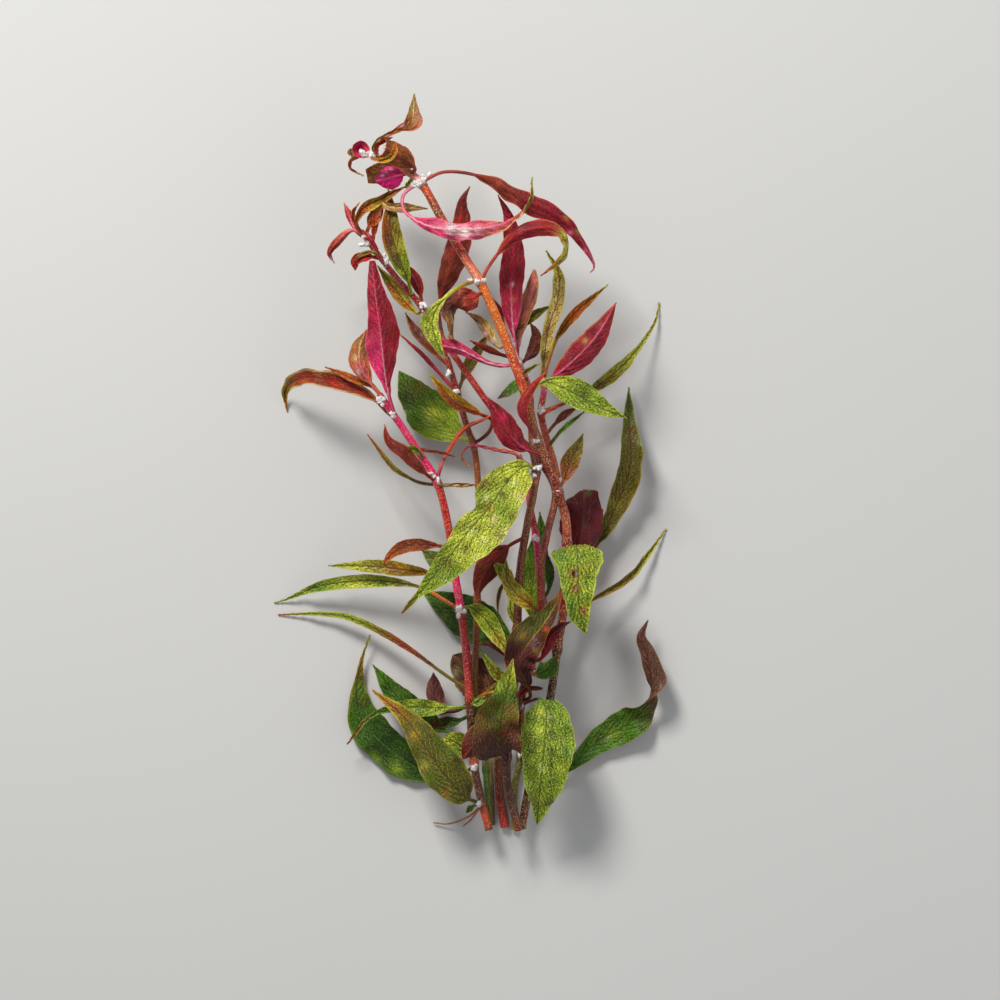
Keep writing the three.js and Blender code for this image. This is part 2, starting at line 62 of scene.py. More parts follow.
LEAF_SETBACK = 2.7 * MM
LEAF_FOOT = 0.7 * MM
FLOOR_GAP = 0.03 * MM
FLOOR_SIDE = 6.0

# Side veins, in millimetres along the midrib from one to the next, and how far they lean
VEIN_SPACING = 3.4
VEIN_LEAN = 1.9
VEIN_CURVE = 0.09

# A blade's outline: the share of it that widens from the petiole, a power below 1 that moves its
# widest part toward the foot, how fast the petiole thins along it, how sharply petiole and blade
# meet, the nicks in its margin (radians along it, depth), and how much room it takes at a bend
BLADE_RISE = 0.07
BLADE_POWER = 0.82
STALK_POWER = 0.6
MEETING_POWER = 3
NICKS = ((23, 0.03), (61, 0.02))
BEND_ROOM = 0.85

# A blade's relief: low swells (radians to a millimetre along it and aside) that begin beside the
# midrib, and the ripple of the margin (its length in millimetres, and its pace on the second half),
# which broad blades show in full
SWELLS = 4
SWELL_PACE = (0.35, 0.8)
SWELL_DRIFT = (-0.6, 0.6)
SWELL_START = 3
RIPPLE_LENGTH = (9, 13)
RIPPLE_SECOND_PACE = 0.9
RIPPLE_POWER = 2.2
RIPPLE_HALF_WIDTH = 4 * MM
RIPPLE_MOST = 1.2

# A blade's section: how round the petiole is, how much of the midrib is lost at the tip, and how
# much of it shows above. Then the share of a half over which the two coats blend, and how strong a
# patch is at its middle
STALK_ROUNDNESS = 0.96
MIDRIB_LOSS = 0.5
MIDRIB_ABOVE = 0.5
COAT_BLEND = 0.12
PATCH_STRENGTH = 0.9

# A stem's girth: the swelling at a node and its reach in millimetres, a slow wave along the stem
# (depth, radians to a millimetre), ribs that twist, and finer ribs (number, depth)
NODE_SWELLING = 0.3
NODE_REACH = 1.5
GIRTH_WAVE = (0.02, 0.9)
RIBS = (4, 0.045)
FINE_RIBS = (9, 0.018)
RIB_TWIST = (1.5, 5)

# A stem's ends, in radii: the size of each loop and how far out it lies at the top, and the sizes
# of the loops at the foot with the lip of its rim. The middle of a cut is sunk, and the end of a
# root is drawn out
TOP_LOOPS = ((0.45, 0.62), (0.8, 0.38))
TOP_REACH = 0.72
FOOT_SIZES = (0.9, 0.72, 0.4)
FOOT_LIP = -0.04
CUT_DEPTH = 0.12
ROOT_END = -0.4

# White wool: the size of a lump in millimetres, the waves that toss it and their depth, how much
# it is stretched, its hairs, and their length in lumps and thickness in millimetres
LUMP_SIZE = (0.38, 0.85)
LUMP_WAVES = 5
LUMP_TOSS = 0.13
LUMP_STRETCH = 0.25
HAIRS = 14
HAIR_LENGTH = (1.0, 2.4)
HAIR_THICKNESS = (0.03, 0.06)

# How fine the patterns of the skins are: in cells to a millimetre of the blade or stem, as a pair
# where along and across differ, and in cells to a metre for those that pass through the whole plant
VEIN_WANDER = 0.3
VEIN_NET = 0.9
LEAF_FLOW = (0.14, 1.2)
LEAF_MOTTLE = 0.5
LEAF_GRAIN = 1.9
LEAF_CLUSTERS = 0.95
LEAF_CLOUDS = 150.0
STEM_STREAKS = (0.12, 1.6)
STEM_PATCHES = 330.0
STEM_GRAIN = 1500.0
STEM_DOTS = 1450.0
WOOL_PATCHES = 500.0
WOOL_FIBRES = 2500.0
FLOOR_PATCHES = 3.0

# How far apart the patterns of a leaf's two faces lie, and how deep red, green and blue light goes
FACE_SHIFT = 30
LEAF_LIGHT_DEPTHS = (0.0012, 0.0006, 0.0003)
STEM_LIGHT_DEPTHS = (0.0015, 0.0007, 0.0004)
WOOL_LIGHT_DEPTHS = (0.001, 0.001, 0.001)

# Columns and rows of the photograph: what the plant spans there, and the middle of its box
TIP_ROW = 97
CUT_ROW = 832
CENTRE_COLUMN = 470
CENTRE_ROW = 465.5
PHOTO_SIDE = 1000
METRES_PER_PIXEL = PLANT_LENGTH / (CUT_ROW - TIP_ROW)

# How finely the meshes are stepped, with the fewest and most rows of a blade and columns of a half.
# The powers bring the rows a little closer at the tip and the columns closer at the midrib
BLADE_STEP = 0.75 * MM
BLADE_ROWS = (26, 90)
ROW_POWER = 0.97
COLUMN_STEP = 0.60 * MM
HALF_COLUMNS = (4, 15)
COLUMN_POWER = 1.2
HOLE_FINENESS = 2.2
SECTION_STEPS = 80
ROUTE_STEPS = 40
STEM_STEP = 0.8 * MM
STEM_SIDES = 20
ROOT_STEP = 1.2 * MM
ROOT_SIDES = 8
FEWEST_RINGS = 6

UP = np.array([0.0, 0.0, 1.0])
RIGHT = np.array([1.0, 0.0, 0.0])


def linear(red, green, blue):
    """A colour as the eye sees it, in the numbers that the shaders work in."""
    values = np.array([red, green, blue], float)
    low = values / 12.92
    high = ((values + 0.055) / 1.055) ** 2.4
    return np.where(values <= 0.04045, low, high)


# Colours
WHITE = linear(0.97, 0.96, 0.94)
CREAM = linear(0.92, 0.82, 0.52)
PALE_LIME = linear(0.86, 0.90, 0.48)
LEMON = linear(0.82, 0.85, 0.26)
LIME = linear(0.55, 0.64, 0.12)
GREEN = linear(0.30, 0.48, 0.09)
DARK_GREEN = linear(0.11, 0.24, 0.05)
SHADE_GREEN = linear(0.22, 0.30, 0.05)
OLIVE = linear(0.45, 0.41, 0.09)
DARK_OLIVE = linear(0.31, 0.32, 0.08)
PALE_OLIVE = linear(0.60, 0.58, 0.14)
GOLD = linear(0.74, 0.55, 0.11)
TAN = linear(0.64, 0.43, 0.22)
ORANGE = linear(0.84, 0.39, 0.09)
VERMILION = linear(0.80, 0.24, 0.08)
BRONZE = linear(0.58, 0.29, 0.10)
RUST = linear(0.48, 0.17, 0.07)
MAUVE = linear(0.42, 0.23, 0.20)
SALMON = linear(0.82, 0.38, 0.27)
SCARLET = linear(0.78, 0.14, 0.14)
BRICK = linear(0.58, 0.13, 0.09)
CRIMSON = linear(0.55, 0.03, 0.12)
RASPBERRY = linear(0.66, 0.04, 0.20)
MAGENTA = linear(0.88, 0.06, 0.38)
HOT_PINK = linear(0.94, 0.05, 0.52)
PINK = linear(0.90, 0.44, 0.54)
PALE_PINK = linear(0.96, 0.74, 0.76)
MAROON = linear(0.34, 0.10, 0.09)
BROWN = linear(0.33, 0.17, 0.09)
PLUM = linear(0.26, 0.07, 0.12)
DUSK = linear(0.19, 0.07, 0.07)
GARNET = linear(0.45, 0.08, 0.12)
STRAW = linear(0.78, 0.66, 0.34)
PEACH = linear(0.96, 0.56, 0.42)

# The coat of a leaf: upper face, underside, the rib on each, and the margin on each
COATS = {
    "lime": (LIME, TAN, OLIVE, SALMON, LEMON, CREAM),
    "lemon": (LEMON, TAN, OLIVE, SALMON, CREAM, CREAM),
    "green": (GREEN, BRICK, SHADE_GREEN, SALMON, LIME, TAN),
    # dark_green is the green coat darkened for the green leaves low in the bunch: partly their own
    # deeper green, partly painted shade
    "dark_green": (DARK_GREEN, MAROON, GREEN, SALMON, GREEN, TAN),
    "olive": (OLIVE, BRICK, BROWN, SALMON, GOLD, CREAM),
    "veined": (DARK_OLIVE, BRICK, LEMON, SALMON, PALE_OLIVE, CREAM),
    "dark_olive": (DARK_OLIVE, BRICK, OLIVE, SALMON, LIME, TAN),
    "pale_olive": (PALE_OLIVE, BRICK, BRONZE, SALMON, LEMON, CREAM),
    "gold": (GOLD, TAN, RUST, RUST, LEMON, CREAM),
    "bronze": (BRONZE, BRICK, RUST, SALMON, ORANGE, ORANGE),
    "orange": (ORANGE, SALMON, RUST, SCARLET, GOLD, GOLD),
    "salmon": (SALMON, SALMON, BRICK, PINK, CREAM, CREAM),
    "scarlet": (SCARLET, SCARLET, BRICK, PINK, ORANGE, ORANGE),
    "brick": (BRICK, BRICK, MAROON, SCARLET, ORANGE, ORANGE),
    "rust": (RUST, RUST, MAROON, BRICK, BRONZE, ORANGE),
    "crimson": (RUST, CRIMSON, MAROON, RASPBERRY, BRONZE, SCARLET),
    "raspberry": (RUST, RASPBERRY, MAROON, PINK, BRONZE, PINK),
    "magenta": (RUST, MAGENTA, MAROON, PALE_PINK, BRONZE, PINK),
    "wine": (BRICK, CRIMSON, MAROON, PINK, ORANGE, ORANGE),
    "hot_pink": (HOT_PINK, HOT_PINK, PINK, PINK, MAGENTA, MAGENTA),
    "pink": (SALMON, PINK, PALE_PINK, PALE_PINK, WHITE, WHITE),
    "maroon": (MAROON, MAROON, RUST, BRICK, BRONZE, BRONZE),
    "plum": (PLUM, PLUM, MAROON, MAROON, MAUVE, MAUVE),
    "brown": (BROWN, BROWN, BRONZE, RUST, GOLD, GOLD),
    "mauve": (MAUVE, MAUVE, MAROON, MAROON, TAN, TAN),
    "garnet": (GARNET, GARNET, MAUVE, MAUVE, MAROON, MAROON),
    "straw": (STRAW, STRAW, BRONZE, BRONZE, LEMON, LEMON),
    "peach": (PEACH, PEACH, BRICK, PINK, CREAM, CREAM),
    "ruffled": (BRICK, BRICK, RUST, SCARLET, CREAM, CREAM),
    "netted": (BROWN, BROWN, TAN, TAN, LIME, GOLD),
    "tan": (TAN, TAN, CREAM, CREAM, BRONZE, BRONZE),
    "rolled": (SCARLET, BRONZE, BRICK, RUST, ORANGE, ORANGE),
    "rolled_pink": (MAGENTA, RUST, PINK, BRONZE, SALMON, SALMON),
    "white": (PALE_PINK, PALE_PINK, PINK, PINK, WHITE, WHITE),
}

# Every route below is a list of (column, row, height): where the photograph shows a point of the
# stem or midrib, and its height in millimetres over the surface that the plant lies on. Stems and
# leaves that have a solid follow its route. Widths and thicknesses are in millimetres too. The
# colours of a stem each begin at a row of the photograph.
STEMS = {
    "stem_a": dict(
        slot="stem_orange", thickness=(2.6, 3.0, 3.2, 3.0, 2.8, 2.8, 2.8),
        nodes=(184, 283, 437, 492, 543, 650),
        # The BROWN stops from row 660 down are partly painted shade, where the stem runs in shadow
        # beneath the leaves
        colours=((168, SALMON), (176, SALMON), (183, PALE_PINK), (188, VERMILION), (215, RUST),
                 (225, VERMILION), (255, SCARLET), (268, SALMON), (282, SALMON), (288, ORANGE),
                 (330, ORANGE), (360, VERMILION), (400, VERMILION), (437, BRONZE), (460, BRICK),
                 (505, BRICK), (520, SALMON), (543, RASPBERRY), (632, BRICK), (660, BROWN),
                 (790, BROWN), (831, RUST)),
        route=((402, 168, 34), (421, 184, 35), (443, 222, 38), (468, 264, 41), (480, 283, 43),
               (503, 335, 44), (525, 395, 43), (536, 437, 39), (551, 470, 34), (558, 492, 30),
               (566, 520, 25), (567, 543, 22), (565, 600, 16), (557, 655, 11), (551, 697, 9),
               (530, 785, 7.5), (522, 831, 7))),
    "stem_b": dict(
        slot="stem_crimson", thickness=(1.9, 2.1, 2.3, 2.5, 2.8, 3.0),
        nodes=(307, 412, 615, 762),
        colours=((232, SCARLET), (250, CRIMSON), (300, CRIMSON), (330, BRICK), (380, SCARLET),
                 (412, CRIMSON), (450, BRICK), (500, RUST), (600, BRICK), (640, BROWN),
                 (760, BROWN), (790, RUST), (808, BRICK), (830, SCARLET)),
        route=((362, 232, 30), (376, 252, 29), (400, 282, 27), (422, 307, 26), (440, 335, 27),
               (470, 378, 28), (495, 412, 28), (537, 458, 27), (555, 490, 26), (548, 530, 28),
               (541, 565, 27), (541, 615, 22), (535, 650, 19), (520, 700, 13), (505, 740, 8),
               (499, 762, 6), (500, 800, 3), (505, 830, 1.6))),
    "stem_c": dict(
        slot="stem_brown", thickness=(2.4, 2.6, 2.7, 2.8, 2.8),
        nodes=(360, 471, 630, 757),
        # The dark MAROON and BROWN near the foot are partly painted shade
        colours=((360, PALE_PINK), (374, PINK), (390, SALMON), (402, RUST), (471, RUST),
                 (500, BRONZE), (540, RUST), (640, RUST), (700, BROWN), (757, MAROON), (810, BROWN),
                 (832, RUST)),
        route=((517, 360, 30), (528, 388, 29), (531, 420, 29), (533, 450, 31), (536, 471, 33),
               (533, 495, 34), (528, 520, 34), (520, 570, 29), (517, 630, 24), (514, 680, 22),
               (510, 730, 18), (507, 757, 16), (507, 780, 15), (511, 800, 14), (519, 832, 12.5))),
    "stem_d": dict(
        slot="stem_crimson", thickness=(2.0, 2.2, 2.2, 2.2),
        nodes=(392, 443, 600, 772),
        colours=((358, BRICK), (392, CRIMSON), (430, RUST), (480, BRONZE), (560, RUST),
                 (650, BRONZE), (700, OLIVE), (760, DARK_OLIVE), (780, GREEN),
                 (828, DARK_OLIVE)),
        route=((447, 358, 22), (457, 392, 20), (468, 430, 18), (473, 443, 18), (478, 482, 18),
               (479, 560, 17), (477, 600, 15), (476, 640, 14), (475, 700, 11), (484, 750, 8.5),
               (487, 790, 6.5), (490, 828, 5.5))),
    "side_shoot": dict(
        slot="stem_pink", thickness=(2.0, 2.2, 2.2), nodes=(412,),
        colours=((378, PINK), (395, RASPBERRY), (420, BRICK), (478, SALMON)),
        route=((542, 378, 24), (544, 390, 25), (541, 412, 26), (547, 440, 27), (552, 455, 27.5),
               (558, 478, 27.5))),
    "stem_f": dict(
        slot="stem_pink", thickness=(2.0, 2.3, 2.4, 2.4), nodes=(537, 707, 757),
        colours=((456, RASPBERRY), (490, MAGENTA), (505, MAGENTA), (520, CRIMSON),
                 (540, MAGENTA), (590, MAGENTA), (612, BRICK), (650, CRIMSON), (707, BRICK),
                 (750, DARK_OLIVE), (800, OLIVE), (833, PALE_OLIVE)),
        route=((519, 456, 26), (528, 485, 25), (530, 505, 24), (536, 537, 22), (540, 580, 19),
               (545, 616, 16), (535, 650, 12), (524, 690, 7), (521, 707, 6), (521, 757, 3),
               (515, 790, 1.8), (515, 833, 1.3))),
    "stem_g": dict(
        slot="stem_pink", thickness=(2.2, 2.6, 2.7, 2.7, 2.7), nodes=(482, 611, 700, 766, 806),
        colours=((395, RASPBERRY), (415, MAGENTA), (478, MAGENTA), (486, SCARLET),
                 (560, SCARLET), (572, MAGENTA), (606, MAGENTA), (616, SCARLET),
                 (660, RASPBERRY), (690, SCARLET), (712, BROWN), (750, MAROON), (766, SALMON),
                 (775, MAUVE), (796, MAUVE), (806, RUST), (818, VERMILION), (832, RUST)),
        route=((380, 395, 32), (396, 418, 32), (422, 457, 31), (437, 482, 30), (449, 530, 28),
               (455, 575, 25), (461, 611, 22), (466, 650, 18), (470, 708, 15), (474, 766, 11),
               (480, 797, 10), (489, 832, 9.5))),
    "stem_stub": dict(
        slot="stem_brown", thickness=(1.3, 1.4), nodes=(),
        colours=((762, CREAM), (795, TAN), (828, BROWN)),
        route=((491, 762, 4), (492, 795, 2.4), (493, 828, 1))),
}

ROOTS = (
    ((482, 806, 10), (470, 818, 6), (448, 827, 2), (433, 826, 1)),
    ((482, 806, 10), (471, 822, 5), (463, 829, 2.5)),
)

# Leaves that stand for a solid of the same name. Roll turns a blade about its midrib, in degrees:
# 0 has the upper face up, 180 the underside. Fold is the angle of its halves at the midrib, cup
# how far each half bends on from there, and full how fast it widens. Left and right are seen on
# the way from the stem to the tip. They multiply the half widths at even steps of the blade, and
# where full is 0 and no width is given they are the half widths in millimetres. Rim widens the
# margin's colour on the left and the right. Patches are (column, row, radius in pixels, colour).
# Some patches are painted highlights and some painted shade; each such leaf says which
LEAVES = {
    "leaf_a1_right": dict(
        coat=("orange", "rust", "rust", "crimson", "crimson", "raspberry"), width=7.6, petiole=0.2,
        roll=(180, 170, 160, 165, 165, 180), fold=25, rim=(4, 2), left=(1, 1, 1.1, 0.8, 0.8),
        right=(1, 1.1, 1.1, 0.9, 0.8), wave=0.8,
        # The PINK patches are painted highlights on the blade
        patches=((500, 184, 4, SALMON), (520, 192, 4, MAROON), (546, 203, 4, MAROON),
                 (566, 219, 3, GOLD), (578, 233, 3, LIME), (570, 234, 3, PINK),
                 (552, 222, 4, RASPBERRY), (585, 252, 3, PINK)),
        route=((423, 183, 36), (445, 174, 40), (485, 180, 42), (525, 201, 42), (563, 221, 38),
               (586, 250, 33), (594, 268, 30), (590, 273, 29.5))),
    "leaf_a1_left": dict(
        coat=("pink", "pink", "magenta", "magenta", "magenta", "salmon", "olive", "lime"),
        width=6.6, petiole=0.22, roll=(180, 180, 180, 175, 165, 80, 30), fold=14, rim=(2, 2),
        left=(1, 1.6, 0.7, 1.0, 0.5, 0.9, 1), right=(1, 0.9, 1.3, 1.0, 0.8, 0.9, 1), wave=0.9,
        # The WHITE and PALE_PINK patches are a painted highlight down the middle of the blade
        patches=((416, 223, 5, MAGENTA), (438, 228, 5, PINK), (452, 231, 6, WHITE),
                 (465, 235, 6, WHITE), (478, 233, 5, PALE_PINK), (440, 239, 4, MAGENTA),
                 (492, 229, 5, PINK), (506, 224, 5, MAGENTA), (488, 238, 3, OLIVE)),
        route=((419, 184, 35), (404, 197, 40), (406, 214, 45), (430, 229, 49), (460, 232, 50),
               (503, 227, 52), (528, 207, 54), (532, 181, 54))),
    "leaf_a2_right": dict(
        coat=("orange", "orange", "brick", "crimson", "brick", "lime", "olive", "bronze"),
        width=6.4, petiole=0.15, roll=(160, 165, 180, 175, 120, 40, 20), fold=20, rim=(3.5, 1),
        patches=((565, 238, 6, LEMON), (566, 250, 4, LEMON)),
        route=((481, 284, 43), (490, 267, 48), (515, 239, 52), (547, 230, 53), (564, 236, 52),
               (565, 258, 49), (540, 278, 46))),
    "leaf_a2_left": dict(
        coat=("orange", "gold", "lemon", "lemon", "lemon", "lime"), full=0,
        left=(0.7, 1.2, 2.0, 2.0, 1.3, 0.1), right=(0.7, 2.6, 4.8, 3.6, 2.0, 0.1),
        petiole=0.36, roll=(10, 0, -20, -20, 0), fold=8,
        patches=((427, 322, 2.5, GREEN), (428, 332, 2.5, GREEN), (433, 344, 2.5, GREEN)),
        route=((478, 282, 43), (464, 287, 48), (450, 296, 50.5), (440, 307, 51.3),
               (433, 322, 51), (436, 340, 49), (445, 359, 47))),
    "leaf_a2_curled": dict(
        coat=("brick", "brick", "rust", "mauve", "tan", "tan"), full=0,
        left=(3.6, 4.8, 4.8, 3.8, 3.0, 2.4), right=(3.6, 4.8, 4.8, 3.8, 3.0, 2.2), petiole=0.01,
        roll=(180, 180, 175, 120, 50), fold=8, cup=(20, 40, 50, 20, 10), wave=0.8,
        # The SALMON patches are painted highlights on the roll
        patches=((462, 296, 4, SALMON), (474, 292, 3, SALMON), (465, 305, 3, SALMON),
                 (476, 302, 3, ORANGE), (455, 325, 4, TAN)),
        route=((485, 293, 43), (473, 299, 46), (460, 303, 46), (451, 308, 42), (453, 326, 39),
               (452, 340, 38))),
    "leaf_a3_right": dict(
        coat=("lemon", "lime", "lime", "lime"), width=9.4, roll=(0, 0, -10, 0),
        fold=8, left=(0.4, 1.1, 1.1, 1), right=(0.5, 1.0, 0.95, 1),
        patches=((584, 396, 7, SHADE_GREEN), (560, 383, 8, LEMON), (606, 412, 4, LEMON)),
        route=((524, 391, 43), (533, 389, 40), (545, 383, 37), (560, 387, 37), (600, 408, 36),
               (626, 418, 34))),
    "leaf_a4_red": dict(
        coat=("raspberry", "crimson", "brick", "brick"), width=4.6, petiole=0.2,
        roll=(180, 160, 150, 170), fold=20, rim=(2, 1),
        route=((536, 437, 39), (530, 430, 46), (521, 411, 49), (524, 398, 49), (533, 386, 48),
               (545, 374, 45))),
    "leaf_a4_left": dict(
        coat=("raspberry", "crimson", "crimson"), width=9.5, roll=(180, 180, 170), fold=20,
        patches=((510, 432, 5, GARNET), (520, 440, 5, MAROON), (497, 405, 5, MAROON),
                 (503, 418, 3, MAGENTA)),
        route=((543, 455, 37), (525, 449, 40), (510, 435, 41), (500, 418, 40), (488, 398, 38))),
    "leaf_a5_tall": dict(
        coat=("dark_olive", "dark_olive", "olive", "dark_olive", "green"), width=9, petiole=0.2,
        roll=(0, 10, 15, 10, 0), fold=14, rim=(1, 2), left=(0.9, 0.95, 1.1, 1, 1),
        patches=((629, 470, 7, OLIVE), (632, 430, 6, BROWN), (618, 505, 5, PALE_OLIVE)),
        route=((566, 575, 18), (580, 562, 12), (597, 546, 8), (617, 505, 9), (631, 465, 11),
               (630, 420, 8), (630, 386, 3))),
    "leaf_a5_small": dict(
        coat=("orange", "bronze", "olive", "dark_olive"), width=6.6, petiole=0.02, roll=(0, 0, 20),
        route=((558, 490, 30), (565, 478, 29), (570, 462, 28), (576, 450, 28), (583, 434, 27))),
    "leaf_a5_purple": dict(
        coat=("garnet", "garnet", "garnet", "maroon"), width=15, petiole=0.12, arches=True,
        full=0.6, left=(1, 1.1, 1.05, 0.95), wave=1.0,
        patches=((588, 512, 3, MAUVE), (588, 526, 3, MAUVE), (594, 505, 3, PLUM),
                 (589, 493, 3, GREEN), (572, 530, 6, BRICK), (598, 535, 5, PLUM)),
        route=((567, 568, 19), (577, 556, 15), (582, 530, 14), (584, 505, 14), (585, 490, 11),
               (585, 494, 7))),
    "leaf_a6_holed": dict(
        coat=("brick", "brick", "lime", "lime", "lime"), full=0, petiole=0.3, arches=True,
        fold=(-10, -16, -6, 6, 8), cup=(-14, -20, 0, 12, 16),
        left=(5.5, 8.2, 8.3, 6.1, 4.9, 3.0, 0.2), right=(5.5, 9.0, 7.5, 6.1, 4.9, 3.6, 0.2),
        rim=(3, 1), holes=((574, 573, 3.2), (575, 588, 2.0), (583, 610, 1.5)),
        patches=((560, 556, 7, GREEN), (590, 565, 6, PALE_OLIVE), (585, 590, 4, LEMON),
                 (570, 605, 5, GREEN), (574, 573, 6, GOLD), (574, 573, 4.4, RUST),
                 (575, 588, 4, ORANGE), (575, 588, 2.6, RUST), (583, 610, 4, ORANGE),
                 (583, 610, 2.4, RUST)),
        route=((565, 598, 16), (572, 592, 16.5), (574, 568, 21), (576, 545, 27), (577, 551, 31),
               (578, 580, 34), (579, 608, 33), (586, 634, 30))),
    "leaf_a6_right": dict(
        coat=("brick", "olive", "olive", "pale_olive", "pale_olive"), width=3.2, petiole=0.15,
        roll=(0, 20, 30, 10), fold=20, rim=(1, 3),
        route=((565, 606, 15.5), (578, 607, 12), (602, 595, 9), (628, 579, 7), (652, 551, 3),
               (668, 529, 0.45))),
    "leaf_a7_right": dict(
        coat=("olive", "green", "green", "green", "green", "mauve", "mauve", "mauve", "mauve"),
        full=0, petiole=0.06, wave=0.8, left=(1, 2.2, 3.2, 4.8, 6.0, 5.2, 3.4, 5.0, 3.6, 2.0, 0.1),
        right=(1, 2.2, 3.4, 4.8, 6.2, 5.8, 3.0, 2.4, 2.4, 1.8, 0.1),
        roll=(0, 0, 0, 0, 0, 60, 175, 180, 180),
        patches=((640, 712, 8, GREEN), (615, 735, 8, LIME), (600, 742, 6, DARK_OLIVE)),
        route=((533, 772, 8), (550, 776, 5), (570, 768, 3), (600, 743, 2.2), (630, 725, 3),
               (648, 706, 6.2), (653, 688, 8.5), (648, 655, 10), (642, 638, 10), (649, 621, 8))),
    "leaf_b1_upright": dict(
        coat=("lime", "green", "dark_olive", "brown", "bronze", "olive", "green"),
        right_coat=("lemon", "lime", "lime", "pale_olive", "olive", "olive", "green"),
        width=7.2, petiole=0.06, roll=(0, 0, 10, 0), fold=16, rim=(4, 1),
        left=(1, 1.1, 1.1, 0.8), right=(1, 1, 1.05, 0.7),
        patches=((396, 250, 4, PALE_OLIVE), (400, 275, 4, LEMON), (390, 196, 3, LIME)),
        route=((412, 296, 27), (408, 280, 31), (402, 265, 33), (391, 230, 34), (391, 205, 33),
               (388, 188, 32))),
    "leaf_b1_left": dict(
        coat=("gold", "gold", "bronze", "green"), right_coat=("gold", "lemon", "gold", "lemon"),
        width=5.0, petiole=0.06, rim=(1, 2),
        patches=((386, 278, 5, GREEN), (408, 304, 4, VERMILION), (396, 293, 3, GOLD)),
        route=((423, 309, 26), (417, 313, 23), (408, 305, 22), (396, 290, 21), (377, 265, 22))),
    "leaf_b2_wilted": dict(
        coat=("crimson", "maroon", "brown", "brown", "veined", "veined", "bronze"),
        right_coat=("crimson", "maroon", "plum", "maroon", "brown", "brown", "bronze"), width=11.5,
        petiole=0.14, left=(0.7, 0.9, 1.35, 1.0, 0.9), right=(0.8, 1.0, 1.0, 0.8, 0.9),
        roll=(0, 10, -10, 0), wave=1.3, fold=(20, 6, 24, 10),
        patches=((546, 629, 2.5, ORANGE), (536, 650, 3, OLIVE), (523, 657, 6, MAUVE),
                 (514, 650, 7, PLUM), (534, 668, 3, BRICK), (528, 642, 3, MAUVE),
                 (512, 664, 6, MAROON), (522, 636, 3, GOLD)),
        route=((520, 702, 12.5), (530, 698, 16), (526, 682, 23), (520, 668, 28), (521, 655, 30),
               (530, 641, 30), (545, 622, 28), (556, 603, 26), (562, 587, 24))),
    "leaf_b2_yellow": dict(
        coat=("brick", "bronze", "gold", "pale_olive", "olive", "lime"), width=6.3,
        petiole=0.2, roll=(0, 0, 0, 10), fold=16,
        route=((541, 612, 22), (535, 608, 28), (527, 602, 33), (516, 593, 35), (507, 578, 37),
               (506, 559, 38))),
    "leaf_c1_upright": dict(
        coat=("magenta", "magenta", "raspberry", "crimson", "crimson", "crimson", "brick"),
        width=8.8, petiole=0.08, roll=(180, 180, 175, 180), fold=10,
        patches=((514, 270, 2.5, RASPBERRY), (513, 300, 3, SALMON), (512, 285, 2, PALE_PINK)),
        route=((517, 358, 30), (513, 330, 32), (511, 290, 33), (513, 250, 34), (508, 217, 34),
               (498, 196, 33))),
    "leaf_c1_salmon": dict(
        coat=("raspberry", "peach", "peach", "peach"), full=0, petiole=0.02,
        roll=(180, 175, 170), fold=16, cup=(10, 10, 30, 60), rim=(2, 2), wave=0.7,
        left=(0.9, 1.1, 2.2, 3.0, 3.1, 2.6, 0.8), right=(0.9, 1.1, 2.2, 2.9, 2.9, 2.5, 0.8),
        # The BROWN patch is painted shadow inside the curled tip
        patches=((531, 292, 4, PINK), (526, 308, 3, SALMON), (535, 273, 2.5, GOLD),
                 (529, 276, 2, BROWN)),
        route=((517, 358, 30), (519, 335, 26), (525, 308, 26), (532, 288, 28), (534, 270, 29))),
    "leaf_c1_left": dict(
        coat=("pink", "magenta", "magenta", "magenta", "raspberry"), full=0,
        left=(0.7, 0.8, 1.2, 2.0, 2.7, 2.4), right=(0.7, 0.8, 1.2, 1.8, 2.6, 2.2), petiole=0.14,
        roll=(180, 170, 160), fold=16, patches=((460, 352, 2, PLUM), (475, 357, 2, CRIMSON)),
        route=((517, 360, 30), (509, 366, 34), (490, 364, 36), (460, 350, 37), (440, 346, 36))),
    "leaf_c2_large": dict(
        coat=("green", "lemon", "lemon", "lime", "lemon", "lemon", "lime", "lime", "lime", "brick"),
        full=0, petiole=0.01, roll=(0, -8, 0, 8, 0), fold=8, wave=0.6,
        left=(3.0, 5.2, 7.1, 8.1, 8.9, 10.0, 10.7, 10.6, 10.2, 9.0, 7.8, 6.4, 4.8, 3.0, 1.2, 0.9,
              0.2),
        right=(1.4, 3.0, 4.6, 6.8, 8.2, 7.6, 3.8, 5.2, 4.9, 4.4, 4.1, 3.4, 2.7, 2.0, 1.1, 0.9,
               0.2),
        # The CREAM and PALE_LIME patches are painted highlights on its ridges. The SHADE_GREEN and
        # OLIVE ones are darker creases, partly their own colour and partly painted shade
        patches=((490, 508, 4, GOLD), (507, 481, 4, SHADE_GREEN), (503, 495, 4, SHADE_GREEN),
                 (513, 516, 5, OLIVE), (500, 536, 6, OLIVE), (466, 547, 5, OLIVE),
                 (480, 528, 4, OLIVE), (515, 484, 4, PALE_LIME), (521, 497, 5, CREAM),
                 (486, 497, 5, PALE_LIME), (494, 519, 4, CREAM), (471, 530, 5, PALE_LIME),
                 (448, 562, 6, OLIVE), (483, 541, 5, PALE_LIME), (508, 530, 4, CREAM),
                 (456, 576, 5, GREEN), (484, 484, 5, TAN), (462, 560, 4, LEMON)),
        route=((536, 471, 33.5), (527, 466, 38), (514, 474, 42), (502, 489, 44),
               (488, 509, 45), (470, 530, 44.5), (450, 556, 42), (430, 581, 39),
               (402, 613, 34))),
    "leaf_c3_brown": dict(
        coat=("brick", "rust", "rust", "bronze"), width=8.8, petiole=0.12,
